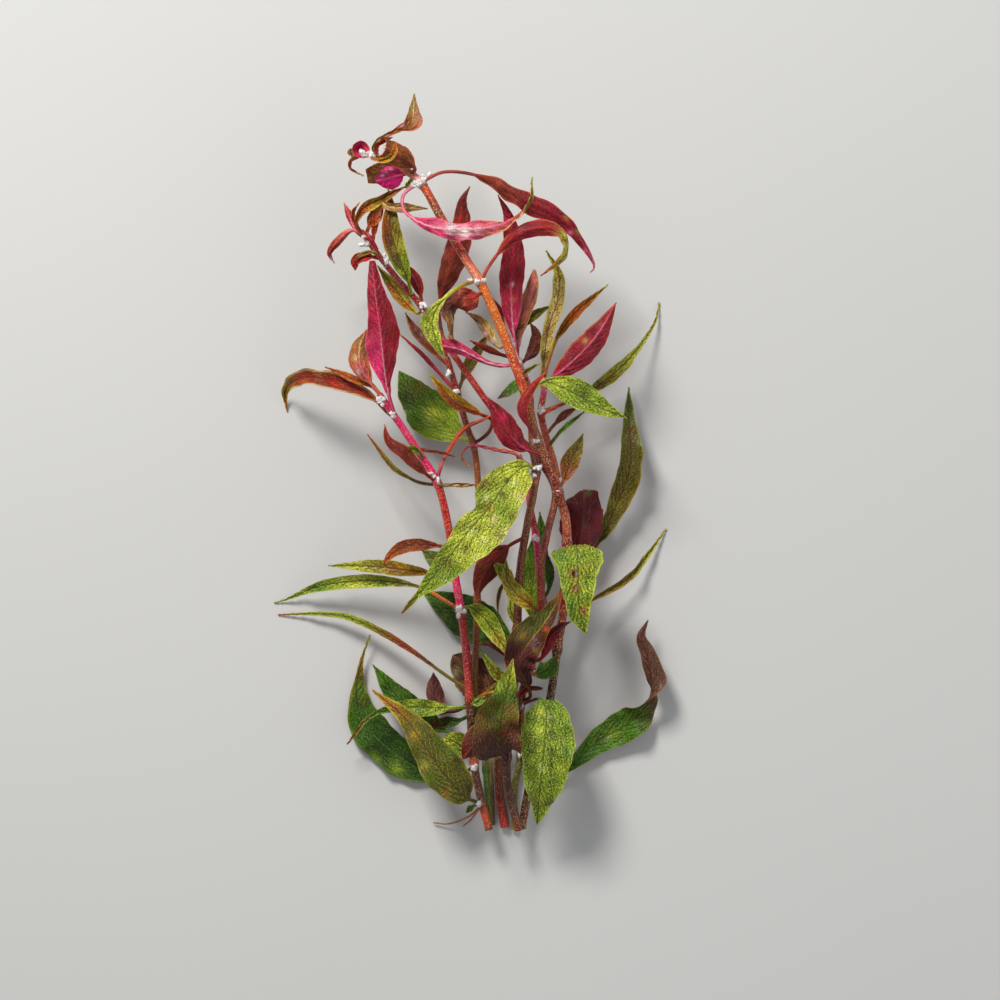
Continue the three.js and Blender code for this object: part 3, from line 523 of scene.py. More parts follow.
        roll=(180, 170, 180), left=(1, 1.1, 1, 0.8), right=(1, 1, 1, 0.9), wave=0.8,
        patches=((482, 566, 3, BRONZE), (480, 590, 3, BRONZE), (495, 556, 6, BRICK)),
        route=((525, 537, 33), (510, 545, 33), (497, 556, 32), (480, 583, 29), (477, 600, 27))),
    "leaf_c4_front": dict(
        coat=("maroon", "plum", "plum", "maroon", "veined", "green", "lime", "lemon"),
        full=0, left=(6, 12.2, 11.8, 10.4, 7.6, 4.4, 2.2, 0.1),
        right=(3, 6.6, 7.2, 6.6, 5.2, 3.4, 1.8, 0.1), roll=(0, 0, 5, 0), fold=(0, 22, 12, 8),
        wave=2.4,
        # The PLUM patches at the lower part are painted shade
        patches=((498, 714, 4, GREEN), (497, 726, 4, GREEN), (499, 738, 4, DARK_OLIVE),
                 (480, 714, 5, RUST), (514, 724, 8, GARNET), (482, 744, 10, PLUM),
                 (511, 708, 5, GARNET), (476, 759, 3, GOLD), (490, 702, 6, OLIVE),
                 (503, 752, 8, PLUM), (500, 688, 4, LIME), (512, 738, 5, MAUVE)),
        route=((507, 760, 16), (504, 756, 22), (502, 742, 29), (501, 722, 33), (506, 695, 35),
               (513, 658, 35))),
    "leaf_c4_brown": dict(
        # Its plum and maroon base is partly painted shade on the underside
        coat=("plum", "maroon", "brown", "dark_olive"), width=12.5, petiole=0.12,
        roll=(180, 180, 170), wave=0.9,
        route=((507, 752, 16.5), (501, 745, 22), (490, 738, 25), (475, 745, 25), (462, 760, 21))),
    "leaf_d1_back": dict(
        coat=("rust", "mauve", "rust", "rust", "brick", "mauve"), width=9.5, petiole=0.3,
        roll=(180, 180, 170, 160, 180), fold=16,
        patches=((447, 270, 3, BRONZE), (455, 250, 4, SCARLET), (445, 290, 4, MAROON)),
        route=((447, 360, 22), (443, 340, 20), (439, 305, 21), (450, 268, 25), (459, 235, 27),
               (463, 200, 29), (470, 187, 29))),
    "leaf_d1_left": dict(
        coat=("brick", "rust", "mauve", "salmon"), width=4.4, roll=(0, 20, 0), fold=20, rim=(3, 1),
        route=((449, 366, 21), (438, 356, 20), (425, 342, 19), (413, 328, 17), (405, 312, 15))),
    "leaf_d2_broad": dict(
        coat=("lime", "lime", "lime", "green", "dark_olive", "green"), width=16, petiole=0.08,
        roll=(0, 0, -5, 0), full=0.8, left=(1, 1.1, 1, 1),
        patches=((450, 420, 9, LIME), (432, 412, 8, LEMON), (405, 395, 8, DARK_GREEN),
                 (404, 418, 7, GREEN), (420, 385, 6, OLIVE), (455, 400, 7, LIME),
                 (425, 425, 6, LIME)),
        route=((473, 443, 18), (460, 436, 13), (445, 424, 8), (430, 412, 5), (412, 392, 3),
               (398, 370, 1.5))),
    "leaf_d2_orange": dict(
        coat=("crimson", "crimson", "brick", "rust", "bronze", "gold"),
        right_coat=("crimson", "crimson", "orange", "gold", "gold", "gold"), width=5.2,
        petiole=0.36, roll=(0, 20, 30, 10, 0), fold=14, rim=(2, 1),
        route=((473, 443, 18), (481, 439, 20), (490, 430, 22), (492, 420, 23), (480, 414, 26),
               (455, 402, 31), (429, 374, 34))),
    "leaf_d3_round": dict(
        coat=("netted", "mauve", "netted"), width=15, full=0.55, wave=0.9, rim=(3, 2),
        patches=((485, 681, 6, TAN), (478, 694, 5, SALMON), (458, 672, 5, OLIVE),
                 (468, 684, 4, TAN), (489, 692, 4, STRAW)),
        route=((475, 712, 10.5), (488, 702, 8.5), (484, 690, 8), (470, 674, 7.5), (453, 656, 7))),
    "leaf_e1_upright": dict(
        coat=("gold", "olive", "straw", "straw", "straw", "pale_olive", "dark_olive"), full=0,
        left=(0.8, 2.0, 2.4, 2.5, 2.4, 2.2, 1.2, 0.1),
        right=(0.8, 1.9, 2.3, 2.5, 2.5, 2.2, 1.2, 0.1), petiole=0.06,
        roll=(0, 20, -10, -30), fold=14, rim=(2, 1),
        patches=((557, 300, 4, CREAM), (559, 285, 4, CREAM), (548, 330, 3, BRONZE),
                 (547, 347, 4, CREAM), (553, 316, 4, CREAM), (549, 256, 4, BRONZE)),
        route=((542, 380, 24), (544, 360, 27), (548, 330, 29), (558, 298, 29), (558, 272, 29),
               (546, 251, 28))),
    "leaf_e1_orange": dict(
        coat=("brick", "gold", "orange", "gold"), width=3.8, petiole=0.3, roll=(0, 10, 20), fold=20,
        route=((543, 382, 24), (549, 360, 21), (558, 336, 22), (578, 310, 26), (608, 285, 28))),
    "leaf_e1_crimson": dict(
        coat=("raspberry", "wine", "wine", "wine", "brick"), width=9.6, petiole=0.04,
        roll=(180, 175, 180), fold=12, rim=(3, 1),
        patches=((585, 341, 3, GOLD), (568, 368, 5, RASPBERRY), (560, 374, 4, MAGENTA)),
        route=((543, 384, 24), (556, 375, 28), (572, 362, 30), (597, 335, 32), (616, 303, 31))),
    "leaf_e2_brown": dict(
        coat=("bronze", "maroon", "brown"), width=3.2, petiole=0.2, roll=(0, 30), fold=20,
        route=((546, 435, 27), (554, 425, 24), (566, 413, 21), (578, 407, 18))),
    "leaf_e2_right": dict(
        coat=("brick", "olive", "pale_olive", "lemon", "lemon", "lime"), width=5.2,
        petiole=0.2, left=(1, 1.1, 0.7, 0.5, 0.7), right=(1, 1.1, 0.7, 0.5, 0.7),
        roll=(0, 0, 20, 40, 20), fold=16, patches=((600, 384, 4, BROWN), (612, 376, 3, GOLD)),
        route=((541, 412, 26), (562, 404, 22), (588, 392, 20), (615, 372, 16), (640, 345, 9),
               (657, 318, 2.5), (661, 300, 0.45))),
    "leaf_f1_back": dict(
        coat=("lime", "lime", "green", "green"), width=9.6, petiole=0.06,
        patches=((530, 590, 6, LIME), (540, 545, 5, DARK_GREEN)),
        route=((540, 634, 14), (535, 622, 11), (532, 600, 9), (534, 575, 9), (541, 530, 11),
               (540, 512, 12))),
    "leaf_f1_floor": dict(
        coat=("green", "green", "dark_green", "dark_green", "green"), width=16, petiole=0.16,
        patches=((484, 632, 8, GREEN), (445, 612, 8, SHADE_GREEN)),
        route=((537, 645, 12.5), (512, 640, 7), (480, 625, 2.5), (450, 608, 1), (421, 592, 0.45))),
    "leaf_f2_front": dict(
        coat=("green", "green", "lime", "lime", "lime", "lime"), full=0, petiole=0.2,
        arches=True, fold=(-10, -4, 10, 10), cup=(-14, 0, 16, 16),
        left=(2.5, 6.8, 9.2, 10.2, 9.8, 8.4, 6.0, 3.3, 0.1),
        right=(2.5, 6.6, 8.2, 8.2, 7.4, 6.2, 4.1, 2.0, 0.1),
        # The rows of DARK_GREEN, SHADE_GREEN and GREEN patches are painted shade in two creases, and
        # the LEMON and PALE_LIME patches are painted highlights between and beside them
        patches=((550, 708, 3, DARK_GREEN), (552, 721, 4, DARK_GREEN), (553, 735, 4, SHADE_GREEN),
                 (552, 750, 3, DARK_GREEN), (551, 766, 3, SHADE_GREEN), (549, 784, 3, GREEN),
                 (529, 720, 3, GREEN), (530, 735, 3, SHADE_GREEN), (532, 751, 3, SHADE_GREEN),
                 (536, 768, 3, GREEN), (568, 728, 7, GREEN), (567, 752, 6, GREEN),
                 (540, 712, 4, LEMON), (540, 730, 4, LEMON), (541, 750, 4, LEMON),
                 (542, 768, 4, PALE_LIME), (560, 768, 4, LEMON), (539, 800, 5, LEMON)),
        route=((521, 707, 6), (531, 702, 12), (541, 700, 20), (546, 710, 24), (545, 740, 27),
               (541, 780, 24), (537, 826, 15))),
    "leaf_g1_front": dict(
        coat=("magenta", "magenta", "magenta", "raspberry", "raspberry", "crimson"),
        right_coat=("magenta", "raspberry", "crimson", "crimson", "crimson", "crimson"),
        full=0, roll=(180, 180, 175, 180), fold=8, cup=12, wave=0.6,
        left=(0.9, 1.7, 4.4, 5.8, 4.8, 3.7, 3.1, 2.3, 1.0),
        right=(0.9, 1.6, 4.0, 5.7, 6.3, 5.4, 3.5, 2.2, 0.9),
        patches=((378, 320, 4, MAGENTA), (381, 350, 5, MAGENTA), (386, 352, 3, CRIMSON),
                 (387, 335, 2.5, MAROON), (386, 370, 2.5, MAROON), (376, 285, 3, RASPBERRY),
                 (371, 300, 3, CRIMSON), (396, 335, 4, SCARLET)),
        route=((396, 418, 32), (391, 402, 36), (387, 383, 38.5), (384, 360, 40),
               (381, 330, 40.5), (377, 300, 40.5), (373, 262, 38))),
    "leaf_g1_salmon": dict(
        coat=("orange", "salmon", "salmon", "tan", "bronze"), width=7.2,
        roll=(160, 170, 180), fold=20, left=(1, 1.2, 1.3, 1.2, 0.9),
        # The PALE_PINK and CREAM patches are painted highlights
        patches=((359, 372, 3, PALE_PINK), (356, 358, 3, CREAM), (357, 350, 3, ORANGE),
                 (366, 385, 3, PINK)),
        route=((381, 396, 32), (373, 386, 32), (361, 366, 33), (360, 348, 33), (367, 330, 32))),
    "leaf_g1_left": dict(
        coat=("raspberry", "brick", "ruffled", "ruffled", "ruffled", "gold", "brick"), width=7.2,
        petiole=0.12, roll=(0, 0, 10, 0, -20), fold=(20, 20, 30, 24, 24), rim=(3, 4), wave=1.2,
        patches=((303, 382, 4, ORANGE), (334, 382, 4, SCARLET), (318, 377, 4, TAN)),
        route=((396, 418, 32), (388, 413, 27), (370, 396, 26), (335, 382, 23), (300, 378, 15),
               (283, 391, 4), (285, 410, 0.45))),
    "leaf_g2_red": dict(
        coat=("brick", "rust", "brick"), width=5.2, roll=(0, 20, 10), fold=16,
        route=((437, 482, 30), (425, 473, 34), (403, 453, 36), (388, 440, 35), (385, 425, 33))),
    "leaf_g2_narrow": dict(
        coat=("bronze", "olive", "olive", "bronze"), width=2.3, petiole=0.2,
        roll=(0, 20, 20, 0), fold=24,
        route=((438, 485, 30), (418, 482, 26), (393, 468, 22), (375, 445, 19), (367, 434, 17))),
    "leaf_g3_bronze": dict(
        coat=("brick", "rust", "bronze", "orange"), width=5.0, petiole=0.06, roll=(0, 10, 20),
        fold=16, rim=(2, 1),
        route=((452, 548, 27), (430, 545, 28), (405, 547, 27), (390, 556, 25), (382, 568, 23))),
    "leaf_g3_yellow": dict(
        coat=("brick", "gold", "gold", "pale_olive", "lemon", "lime"), width=5.4, petiole=0.12,
        fold=12, patches=((392, 568, 5, BRONZE), (352, 565, 1.6, BROWN), (405, 571, 4, GOLD)),
        route=((455, 576, 25), (440, 574, 23), (405, 570, 18), (380, 567, 16), (327, 566, 12))),
    "leaf_g4_long": dict(
        coat=("magenta", "orange", "gold", "lime", "lemon", "lime", "lime", "lime"), width=4.8,
        petiole=0.22, roll=(0, 0, -10, 0), fold=12, left=(1, 1.1, 1, 0.5), right=(1, 1, 1, 0.6),
        patches=((372, 584, 5, LEMON), (345, 579, 4, LEMON), (318, 590, 4, GREEN),
                 (390, 584, 5, LEMON), (406, 585, 5, PALE_LIME)),
        route=((461, 611, 22), (447, 602, 21), (418, 587, 16), (370, 581, 11), (318, 587, 6),
               (285, 600, 1.5), (272, 604, 0.45))),
    "leaf_g4_right": dict(
        coat=("green", "lime", "lime", "lemon", "pale_olive"), width=6.6, petiole=0.06,
        fold=14, left=(1.6, 1.2, 1, 1), rim=(1, 3),
        patches=((483, 617, 4, LEMON), (497, 640, 4, GOLD)),
        route=((461, 611, 22), (469, 607, 25.5), (484, 618, 28), (497, 636, 28), (510, 658, 27))),
    "leaf_g5_ribbon": dict(
        coat=("olive", "olive", "mauve", "brick", "olive", "lime", "lime", "lime", "bronze"),
        width=2.8, petiole=0.12, roll=(0, 20, 0), fold=16,
        route=((468, 690, 16), (450, 679, 15), (410, 651, 11), (378, 632, 8), (345, 618, 5.5),
               (310, 615, 2.5), (276, 616, 0.45))),
    "leaf_g5_yellow": dict(
        coat=("green", "lime", "lime", "lime", "green", "olive", "brick"), full=0,
        left=(0.7, 2.7, 3.3, 1.8, 0.8, 0.7, 0.7, 0.1), petiole=0.08,
        right=(0.7, 2.4, 3.0, 2.6, 1.4, 0.9, 0.7, 0.1), fold=12,
        patches=((436, 704, 5, LEMON), (450, 712, 5, LEMON), (418, 712, 4, GREEN)),
        route=((470, 708, 15), (445, 709, 13), (400, 709, 12), (370, 718, 11), (346, 746, 8))),
    "leaf_g5_green": dict(
        coat=("olive", "green", "dark_green", "green", "green"), width=10, petiole=0.16,
        patches=((376, 672, 4, GREEN), (385, 690, 6, DARK_GREEN)),
        route=((472, 738, 13), (455, 736, 10), (440, 730, 8), (400, 702, 7), (372, 666, 8))),
    "leaf_g6_floor": dict(
        coat=("green", "green", "dark_green", "dark_green", "green", "olive", "gold"),
        full=0, petiole=0.14, roll=(0, 0, 0, 20), rim=(4, 1),
        left=(0.8, 4.5, 6.8, 6.8, 6.2, 3.4, 1.0, 0.6, 0.2),
        right=(0.8, 4.0, 6.4, 7.0, 7.0, 5.6, 2.7, 0.6, 0.2),
        patches=((372, 762, 6, LIME), (395, 770, 8, LIME), (350, 735, 6, GREEN),
                 (358, 690, 6, GREEN), (400, 748, 8, GREEN), (362, 705, 6, DARK_OLIVE)),
        route=((474, 768, 11), (455, 780, 5), (430, 777, 1.5), (395, 757, 0.5), (362, 724, 0.5),
               (355, 700, 1), (358, 670, 3), (369, 636, 5))),
    "leaf_g6_front": dict(
        coat=("veined", "veined", "veined", "veined", "veined", "gold", "orange"),
        full=0, petiole=0.05, fold=8, rim=(2, 3),
        left=(1.0, 5.6, 6.8, 5.2, 3.1, 1.6, 0.2), right=(1.0, 7.2, 8.0, 6.6, 4.6, 2.2, 0.2),
        patches=((460, 775, 7, DARK_OLIVE), (469, 790, 6, PLUM), (440, 740, 7, GREEN),
                 (425, 765, 5, PALE_OLIVE), (430, 780, 6, GREEN), (446, 794, 4, BRONZE),
                 (395, 710, 4, BRONZE), (415, 735, 5, GOLD), (450, 752, 5, GREEN)),
        route=((483, 806, 10), (465, 798, 16), (449, 781, 20), (427, 750, 22), (404, 718, 20),
               (372, 691, 16))),
}

# Small leaves inside the bunch and young ones at the tips. Most have no solid of their own, so
# each goes with the solid of the stem that bears it.
SMALL = {
    "young_a_horn": dict(
        stem="stem_a", coat=("gold", "gold", "tan", "tan", "bronze", "bronze", "tan", "olive"),
        full=0, roll=(60, 60, 40, 20, 10, 0, 0), fold=10, cup=8, rim=(1, 2),
        left=(0.7, 0.8, 0.8, 0.8, 0.8, 0.9, 2.0, 2.5, 1.8, 1.0, 0.1),
        right=(0.7, 0.8, 0.8, 0.8, 0.8, 1.0, 1.2, 3.6, 2.3, 1.0, 0.1),
        patches=((411, 127, 4, TAN), (419, 126, 3, SALMON), (404, 129.5, 1.6, PALE_PINK),
                 (414, 110, 4, OLIVE), (413, 117, 4, TAN)),
        route=((402, 168, 34.5), (392, 163, 36.5), (380, 158, 39), (374, 152, 40.5),
               (378, 144, 42), (388, 137.5, 43), (400, 132, 43), (408, 129.5, 42.5),
               (412.5, 124, 41.5), (414, 112, 40), (415, 96, 38))),
    "young_a_band": dict(
        stem="stem_a", coat=("scarlet", "scarlet", "crimson"), width=1.5, petiole=0.02, roll=(0, 0),
        route=((378, 156, 39.6), (378, 149, 40.2), (386, 142.5, 40.5), (393, 139.5, 40))),
    "young_a_cup": dict(
        stem="stem_a", coat=("rolled",), full=0, petiole=0.12, fold=14,
        cup=(10, 20, 50, 70, 80), roll=(180, 180), rim=(4, 4), left=(1.4, 3.8, 5.2, 6.0, 6.4),
        right=(1.4, 4.0, 5.6, 6.4, 7.0), patches=((405, 163, 4, BROWN), (411, 167, 3, RUST)),
        route=((411, 175.5, 35), (415.5, 171, 37.5), (409, 164.5, 40.5), (398, 158, 43),
               (386, 153, 46))),
    "young_a_lip": dict(
        stem="stem_a", coat=("orange", "gold", "orange"), full=0, petiole=0.02,
        left=(0.5, 1.2, 1.4, 1.2, 0.6), right=(0.5, 1.1, 1.3, 1.2, 0.6), roll=(0, 10, 0), fold=30,
        patches=((383, 163, 3, ORANGE), (396, 152, 3, ORANGE)),
        route=((371, 160, 44), (380, 163.5, 46.5), (389, 162, 47.6), (395.5, 155, 48.2),
               (396, 146, 48))),
    "young_a_magenta": dict(
        stem="stem_a", coat=("raspberry", "hot_pink", "hot_pink"), full=0,
        petiole=0.05, roll=(180, 180, 170), fold=6, left=(1.0, 2.8, 3.9, 4.2, 3.8, 2.6, 0.6),
        right=(1.0, 3.0, 3.9, 4.0, 3.6, 2.4, 0.6), rim=(2, 2),
        patches=((391, 170, 1.6, PALE_PINK), (387, 173, 1.6, PALE_PINK), (383, 176, 1.6, WHITE),
                 (404, 173, 3, RASPBERRY)),
        route=((411, 174, 34.2), (401, 176, 32), (390, 178.5, 30.6), (376, 182, 29.6))),
    "young_a_olive": dict(
        stem="stem_a", coat=("bronze", "brown", "bronze"), full=0, petiole=0.02,
        patches=((375, 172, 3, OLIVE), (369, 179, 2.5, GOLD)),
        left=(0.9, 2.4, 3.4, 3.7, 3.4, 2.4), right=(0.9, 2.4, 3.6, 3.9, 3.6, 2.4),
        roll=(0, 10, 0), fold=10,
        route=((405, 170.5, 33), (398, 171.5, 28.6), (386, 173, 25.6), (375, 175, 25.2),
               (367, 176.5, 25))),
    "young_a_curl": dict(
        stem="stem_a", coat=("pink", "pink", "rolled_pink", "rolled_pink", "rolled_pink"),
        full=0, petiole=0.36, fold=8, cup=10,
        roll=(60, 56, 50), rim=(3, 3), left=(1.2, 2.2, 2.2, 1.4), right=(1.2, 2.2, 2.2, 1.4),
        route=((401, 167, 34.6), (388, 161, 37), (374, 157, 37.5), (364, 158, 37),
               (356, 154, 37), (355.5, 148, 37), (361, 145, 37), (366, 148.5, 37),
               (368, 153, 37))),
    "young_a_flap": dict(
        stem="stem_a", coat=("tan", "olive"), width=2.6, petiole=0.02, full=0.6,
        route=((360, 158, 35), (353, 157, 34.5), (351, 150, 34))),
    "young_a_ribbon": dict(
        stem="stem_a", coat=("pink", "orange", "brick", "crimson", "salmon"), width=1.6,
        petiole=0.3, roll=(20, 40, 20), fold=14,
        route=((402, 168, 33.8), (390, 162.5, 35.4), (376, 158, 36), (362, 158, 36),
               (352, 162, 34), (351, 169, 33), (364, 177, 32))),
    "young_a_bit": dict(
        stem="stem_a", coat=("lime",), width=1.8, roll=(0, 20),
        route=((415, 184, 35), (412, 181, 34), (406, 189, 32))),
    "young_b_1": dict(
        stem="stem_b", coat=("brick", "bronze", "salmon"), width=2.2, roll=(30, 60),
        route=((364, 236, 30), (356, 226, 31), (353, 214, 32), (360, 203, 32))),
    "young_b_2": dict(
        stem="stem_b", coat=("rust", "bronze", "orange", "gold", "bronze", "brown"), width=4.4,
        roll=(20, 30, 10), fold=20, rim=(1, 3), patches=((375, 203, 3, GOLD), (400, 191, 3, RUST)),
        route=((364, 236, 30), (357, 224, 33), (362, 211, 34), (383, 199, 35), (406, 188, 35))),
    "young_b_3": dict(
        stem="stem_b", coat=("brick", "bronze", "bronze", "rust"), width=4.9, petiole=0.04,
        roll=(0, 10), fold=10, rim=(1, 3),
        route=((366, 236, 30), (369, 228, 31), (375, 218, 32), (384, 205, 31))),
    "young_b_4": dict(
        stem="stem_b", coat=("mauve", "magenta", "scarlet", "salmon"), width=2.8, petiole=0.16,
        roll=(150, 180), route=((364, 238, 29), (356, 231, 29), (350, 217, 28), (344, 203, 28))),
    "young_b_5": dict(
        stem="stem_b", coat=("scarlet", "salmon", "salmon", "bronze", "crimson", "pink"),
        width=3.2, petiole=0.04, roll=(170, 180, 150), fold=20,
        route=((365, 236, 30), (352, 231, 31), (336, 244, 30), (330, 254, 28), (335, 264, 26))),
    "young_b_6": dict(
        stem="stem_b", coat=("brick", "scarlet", "scarlet"), width=3.8, petiole=0.03,
        roll=(0, 10, 30), full=0.5,
        route=((381, 259, 28), (368, 257, 29), (356, 261, 28), (355, 270, 26))),
    "young_b_7": dict(
        stem="stem_b", coat=("gold", "olive", "tan"), width=1.6, roll=(0, 20),
        route=((381, 258, 28.5), (374, 253, 30), (364, 254, 30), (353, 261, 29.5))),
    "young_b_8": dict(
        stem="stem_b", coat=("scarlet", "crimson", "scarlet"), width=1.8,
        roll=(170, 180), route=((378, 252, 29.5), (374, 244, 31), (367, 233, 31))),
    "young_b_9": dict(
        stem="stem_b", coat=("crimson", "scarlet", "tan", "tan", "olive"), full=0,
        petiole=0.02, roll=(0, 10, 0), fold=10, rim=(2, 1),
        left=(0.9, 1.2, 1.6, 1.0, 1.4, 1.7, 1.0, 0.1),
        right=(0.9, 1.2, 1.6, 1.2, 1.5, 1.8, 1.0, 0.1),
        route=((372, 247, 30), (381, 205, 34), (390, 208, 36), (405, 209, 37), (428, 210, 37))),
    "young_g_bud": dict(
        stem="stem_g", coat=("lime", "green"), width=2.5, roll=(0, 20),
        route=((482, 805, 10), (473, 808, 9), (466, 815, 7))),
    "small_q3": dict(
        stem="stem_c", coat=("maroon", "brown", "olive", "green"), width=4.0, petiole=0.26,
        roll=(0, 20, 0), fold=14,
        route=((517, 359, 29.6), (516, 345, 28.6), (516, 330, 27), (530, 317, 24), (552, 305, 22))),
    "small_q4": dict(
        stem="stem_c", coat=("maroon", "brown"), width=4.8, roll=(180, 170, 180),
        route=((518, 366, 29), (524, 361, 26), (533, 350, 25), (536, 335, 25), (530, 322, 25))),
    "small_q5": dict(
        stem="stem_c", coat=("maroon", "green", "plum"), width=4.2, roll=(0, 20, 10),
        route=((527, 380, 30), (524, 379, 33), (512, 390, 35), (498, 399, 34))),
    "small_ribbon": dict(
        stem="stem_c", coat=("orange", "pale_olive", "lime"), width=2.0, roll=(20, 40, 20),
        route=((526, 382, 29), (522, 375, 32), (533, 367, 33), (540, 364, 33))),
    "small_n3": dict(
        stem="stem_a", coat=("tan",), right_coat=("straw", "straw", "olive"),
        width=4.6, roll=(180, 175, 180), fold=24,
        patches=((493, 341, 2.2, WHITE), (486, 334, 2.2, PALE_PINK), (479, 326, 2.2, WHITE)),
        route=((507, 345, 43), (499, 348, 40), (488, 332, 39), (478, 320, 38), (466, 313, 37))),
    "small_sheath": dict(
        stem="stem_c", coat=("white", "white", "tan"), width=1.6, petiole=0.02, roll=(0, 10),
        fold=4, route=((518, 362, 31), (514, 350, 33.6), (508, 333, 34), (504, 317, 33))),
    "small_o3": dict(
        stem="stem_d", coat=("brick", "crimson", "brick"), width=1.6, petiole=0.2,
        roll=(160, 180, 160),
        route=((457, 392, 20), (444, 378, 16), (433, 366, 15), (420, 352, 14), (410, 343, 13),
               (398, 332, 12))),
    "small_o4": dict(
        stem="stem_d", coat=("maroon", "olive", "brown"), width=4.8, roll=(0, 10, 0),
        route=((457, 394, 20), (464, 375, 17), (472, 358, 17), (482, 343, 18), (490, 332, 18))),
    "small_o5": dict(
        stem="stem_c", coat=("crimson", "rust", "rust"), width=2.6, roll=(170, 180), rim=(1, 3),
        route=((514, 358, 31), (501, 355, 31), (485, 348, 31), (470, 341, 31))),
    "small_c3": dict(
        stem="stem_c", coat=("raspberry", "crimson", "maroon"), width=3.6, roll=(180, 170, 180),
        route=((516, 357, 29), (515, 352, 27), (507, 330, 25), (500, 312, 25), (491, 296, 26))),
    "small_m": dict(
        stem="stem_c", coat=("brick", "salmon", "raspberry", "orange"), width=1.9,
        roll=(150, 160, 140, 120, 90, 60), fold=10,
        route=((535, 469, 33.4), (525, 463, 38), (515, 454, 41), (500, 451, 42), (485, 448, 42),
               (475, 446, 42), (467, 448, 42), (462, 455, 41), (464, 462, 40), (470, 467, 40))),
    "small_n": dict(
        stem="stem_g", coat=("raspberry", "orange", "bronze", "brick"), width=1.8,
        roll=(150, 170, 150),
        route=((437, 482, 30), (440, 470, 32), (445, 457, 31), (452, 445, 29), (460, 433, 27),
               (470, 425, 27), (480, 421, 28), (500, 412, 29))),
    "small_bit": dict(
        stem="stem_g", coat=("lime", "green", "lime"), width=3.0, fold=30,
        route=((424, 458, 32), (419, 452, 34.5), (412, 449, 35), (406, 448, 34.5))),
    "small_line": dict(
        stem="stem_g", coat=("crimson",), width=1.0,
        route=((419, 449, 31), (435, 452, 33), (446, 454, 34), (455, 457, 34))),
    "small_b11": dict(
        stem="stem_b", coat=("maroon", "brick", "scarlet", "bronze"), width=4.4,
        roll=(170, 180, 170),
        route=((422, 307, 26), (421, 298, 24), (418, 286, 23), (412, 274, 24), (404, 263, 25))),
    "small_r4": dict(
        stem="stem_g", coat=("bronze", "orange", "bronze"), width=2.8, roll=(0, 20, 0),
        route=((388, 404, 31), (372, 386, 28), (355, 380, 27), (340, 373, 26), (325, 367, 24))),
    "small_s2": dict(
        stem="stem_g", coat=("olive", "tan", "olive"), width=1.6, roll=(0, 20), rim=(4, 1),
        route=((438, 486, 30), (450, 485, 31), (460, 485, 31), (477, 485, 31))),
    "small_v1": dict(
        stem="stem_g", coat=("green", "dark_olive", "green"), width=6.6,
        route=((454, 572, 25), (448, 568, 20), (438, 562, 17), (421, 550, 14))),
    "small_w1": dict(
        stem="stem_f", coat=("green", "lemon", "lemon"), width=2.6, full=0.7,
        route=((542, 600, 18), (524, 628, 12), (511, 612, 12), (514, 590, 13), (517, 572, 14))),
    "small_w3": dict(
        stem="stem_c", coat=("olive",), width=1.5,
        route=((519, 578, 28), (503, 585, 27), (498, 600, 26), (498, 612, 25))),
    "small_w4": dict(
        stem="stem_c", coat=("olive", "pale_olive", "lime"), width=5.0, petiole=0.06, full=0.7,
        route=((519, 590, 28), (513, 586, 30), (505, 574, 31), (494, 562, 31))),
    "small_w5": dict(
        stem="stem_f", coat=("green", "dark_green"), width=3.4,
        route=((542, 600, 17.5), (548, 592, 19), (550, 575, 18), (547, 552, 16))),
    "small_x2": dict(
        stem="stem_c", coat=("raspberry", "maroon", "mauve"), width=2.2, roll=(170, 180),
        route=((515, 668, 22), (510, 660, 24), (500, 650, 24), (490, 645, 23), (478, 643, 21))),
    "small_y2": dict(
        stem="stem_b", coat=("brick", "crimson", "mauve"), width=4.6, roll=(180, 170, 160),
        route=((532, 662, 17.6), (542, 658, 21), (550, 638, 23), (560, 627, 22), (571, 622, 20))),
    "small_y3": dict(
        stem="stem_b", coat=("dark_green", "green", "green"), width=7.0, petiole=0.02,
        rim=(2, 2), wave=1.4, left=(1, 1.3, 0.7, 1), right=(0.8, 0.9, 1.2, 1),
        patches=((533, 676, 4, SCARLET), (545, 665, 3, LIME)),
        route=((526, 672, 17), (536, 675, 18), (546, 671, 17), (556, 657, 14))),
    "small_curl": dict(
        stem="stem_b", coat=("crimson", "scarlet", "mauve", "mauve"), width=3.2, petiole=0.02,
        roll=(0, 20, 0), full=0.5, fold=30, cup=40,
        route=((520, 702, 14), (521, 694, 17), (530, 688, 19), (543, 689, 18))),
    "small_arc": dict(
        stem="side_shoot", coat=("brick", "orange", "brick"), width=1.4, roll=(150, 170, 150),
        route=((542, 425, 26.5), (543, 415, 29), (552, 409, 30), (567, 402, 30))),
    "small_teal": dict(
        stem="side_shoot", coat=("olive", "green", "green"), width=1.8,
        route=((548, 447, 27.5), (560, 432, 30), (570, 423, 30), (584, 412, 29))),
    "small_ll5": dict(
        stem="stem_g", coat=("dark_green", "dark_green", "brick"), width=4.2,
        route=((470, 716, 15), (458, 722, 11), (445, 724, 9), (425, 728, 7))),
    "small_ll6": dict(
        stem="stem_g", coat=("lime", "lime", "lemon"), width=8.6, petiole=0.06, full=0.7,
        route=((472, 758, 12), (467, 753, 14), (457, 744, 16), (443, 738, 17))),
    "small_ll7": dict(
        stem="stem_g", coat=("maroon", "mauve", "mauve"), full=0, petiole=0.3,
        left=(0.8, 2.6, 3.2, 2.6, 0.1), right=(0.8, 2.6, 3.2, 2.4, 0.1), roll=(170, 180),
        route=((469, 704, 15), (456, 712, 11), (441, 711, 9.5), (435, 698, 8.5), (433, 674, 7))),
    "small_ll8": dict(
        stem="stem_g", coat=("green", "lime", "green"), width=3.2, full=0.7,
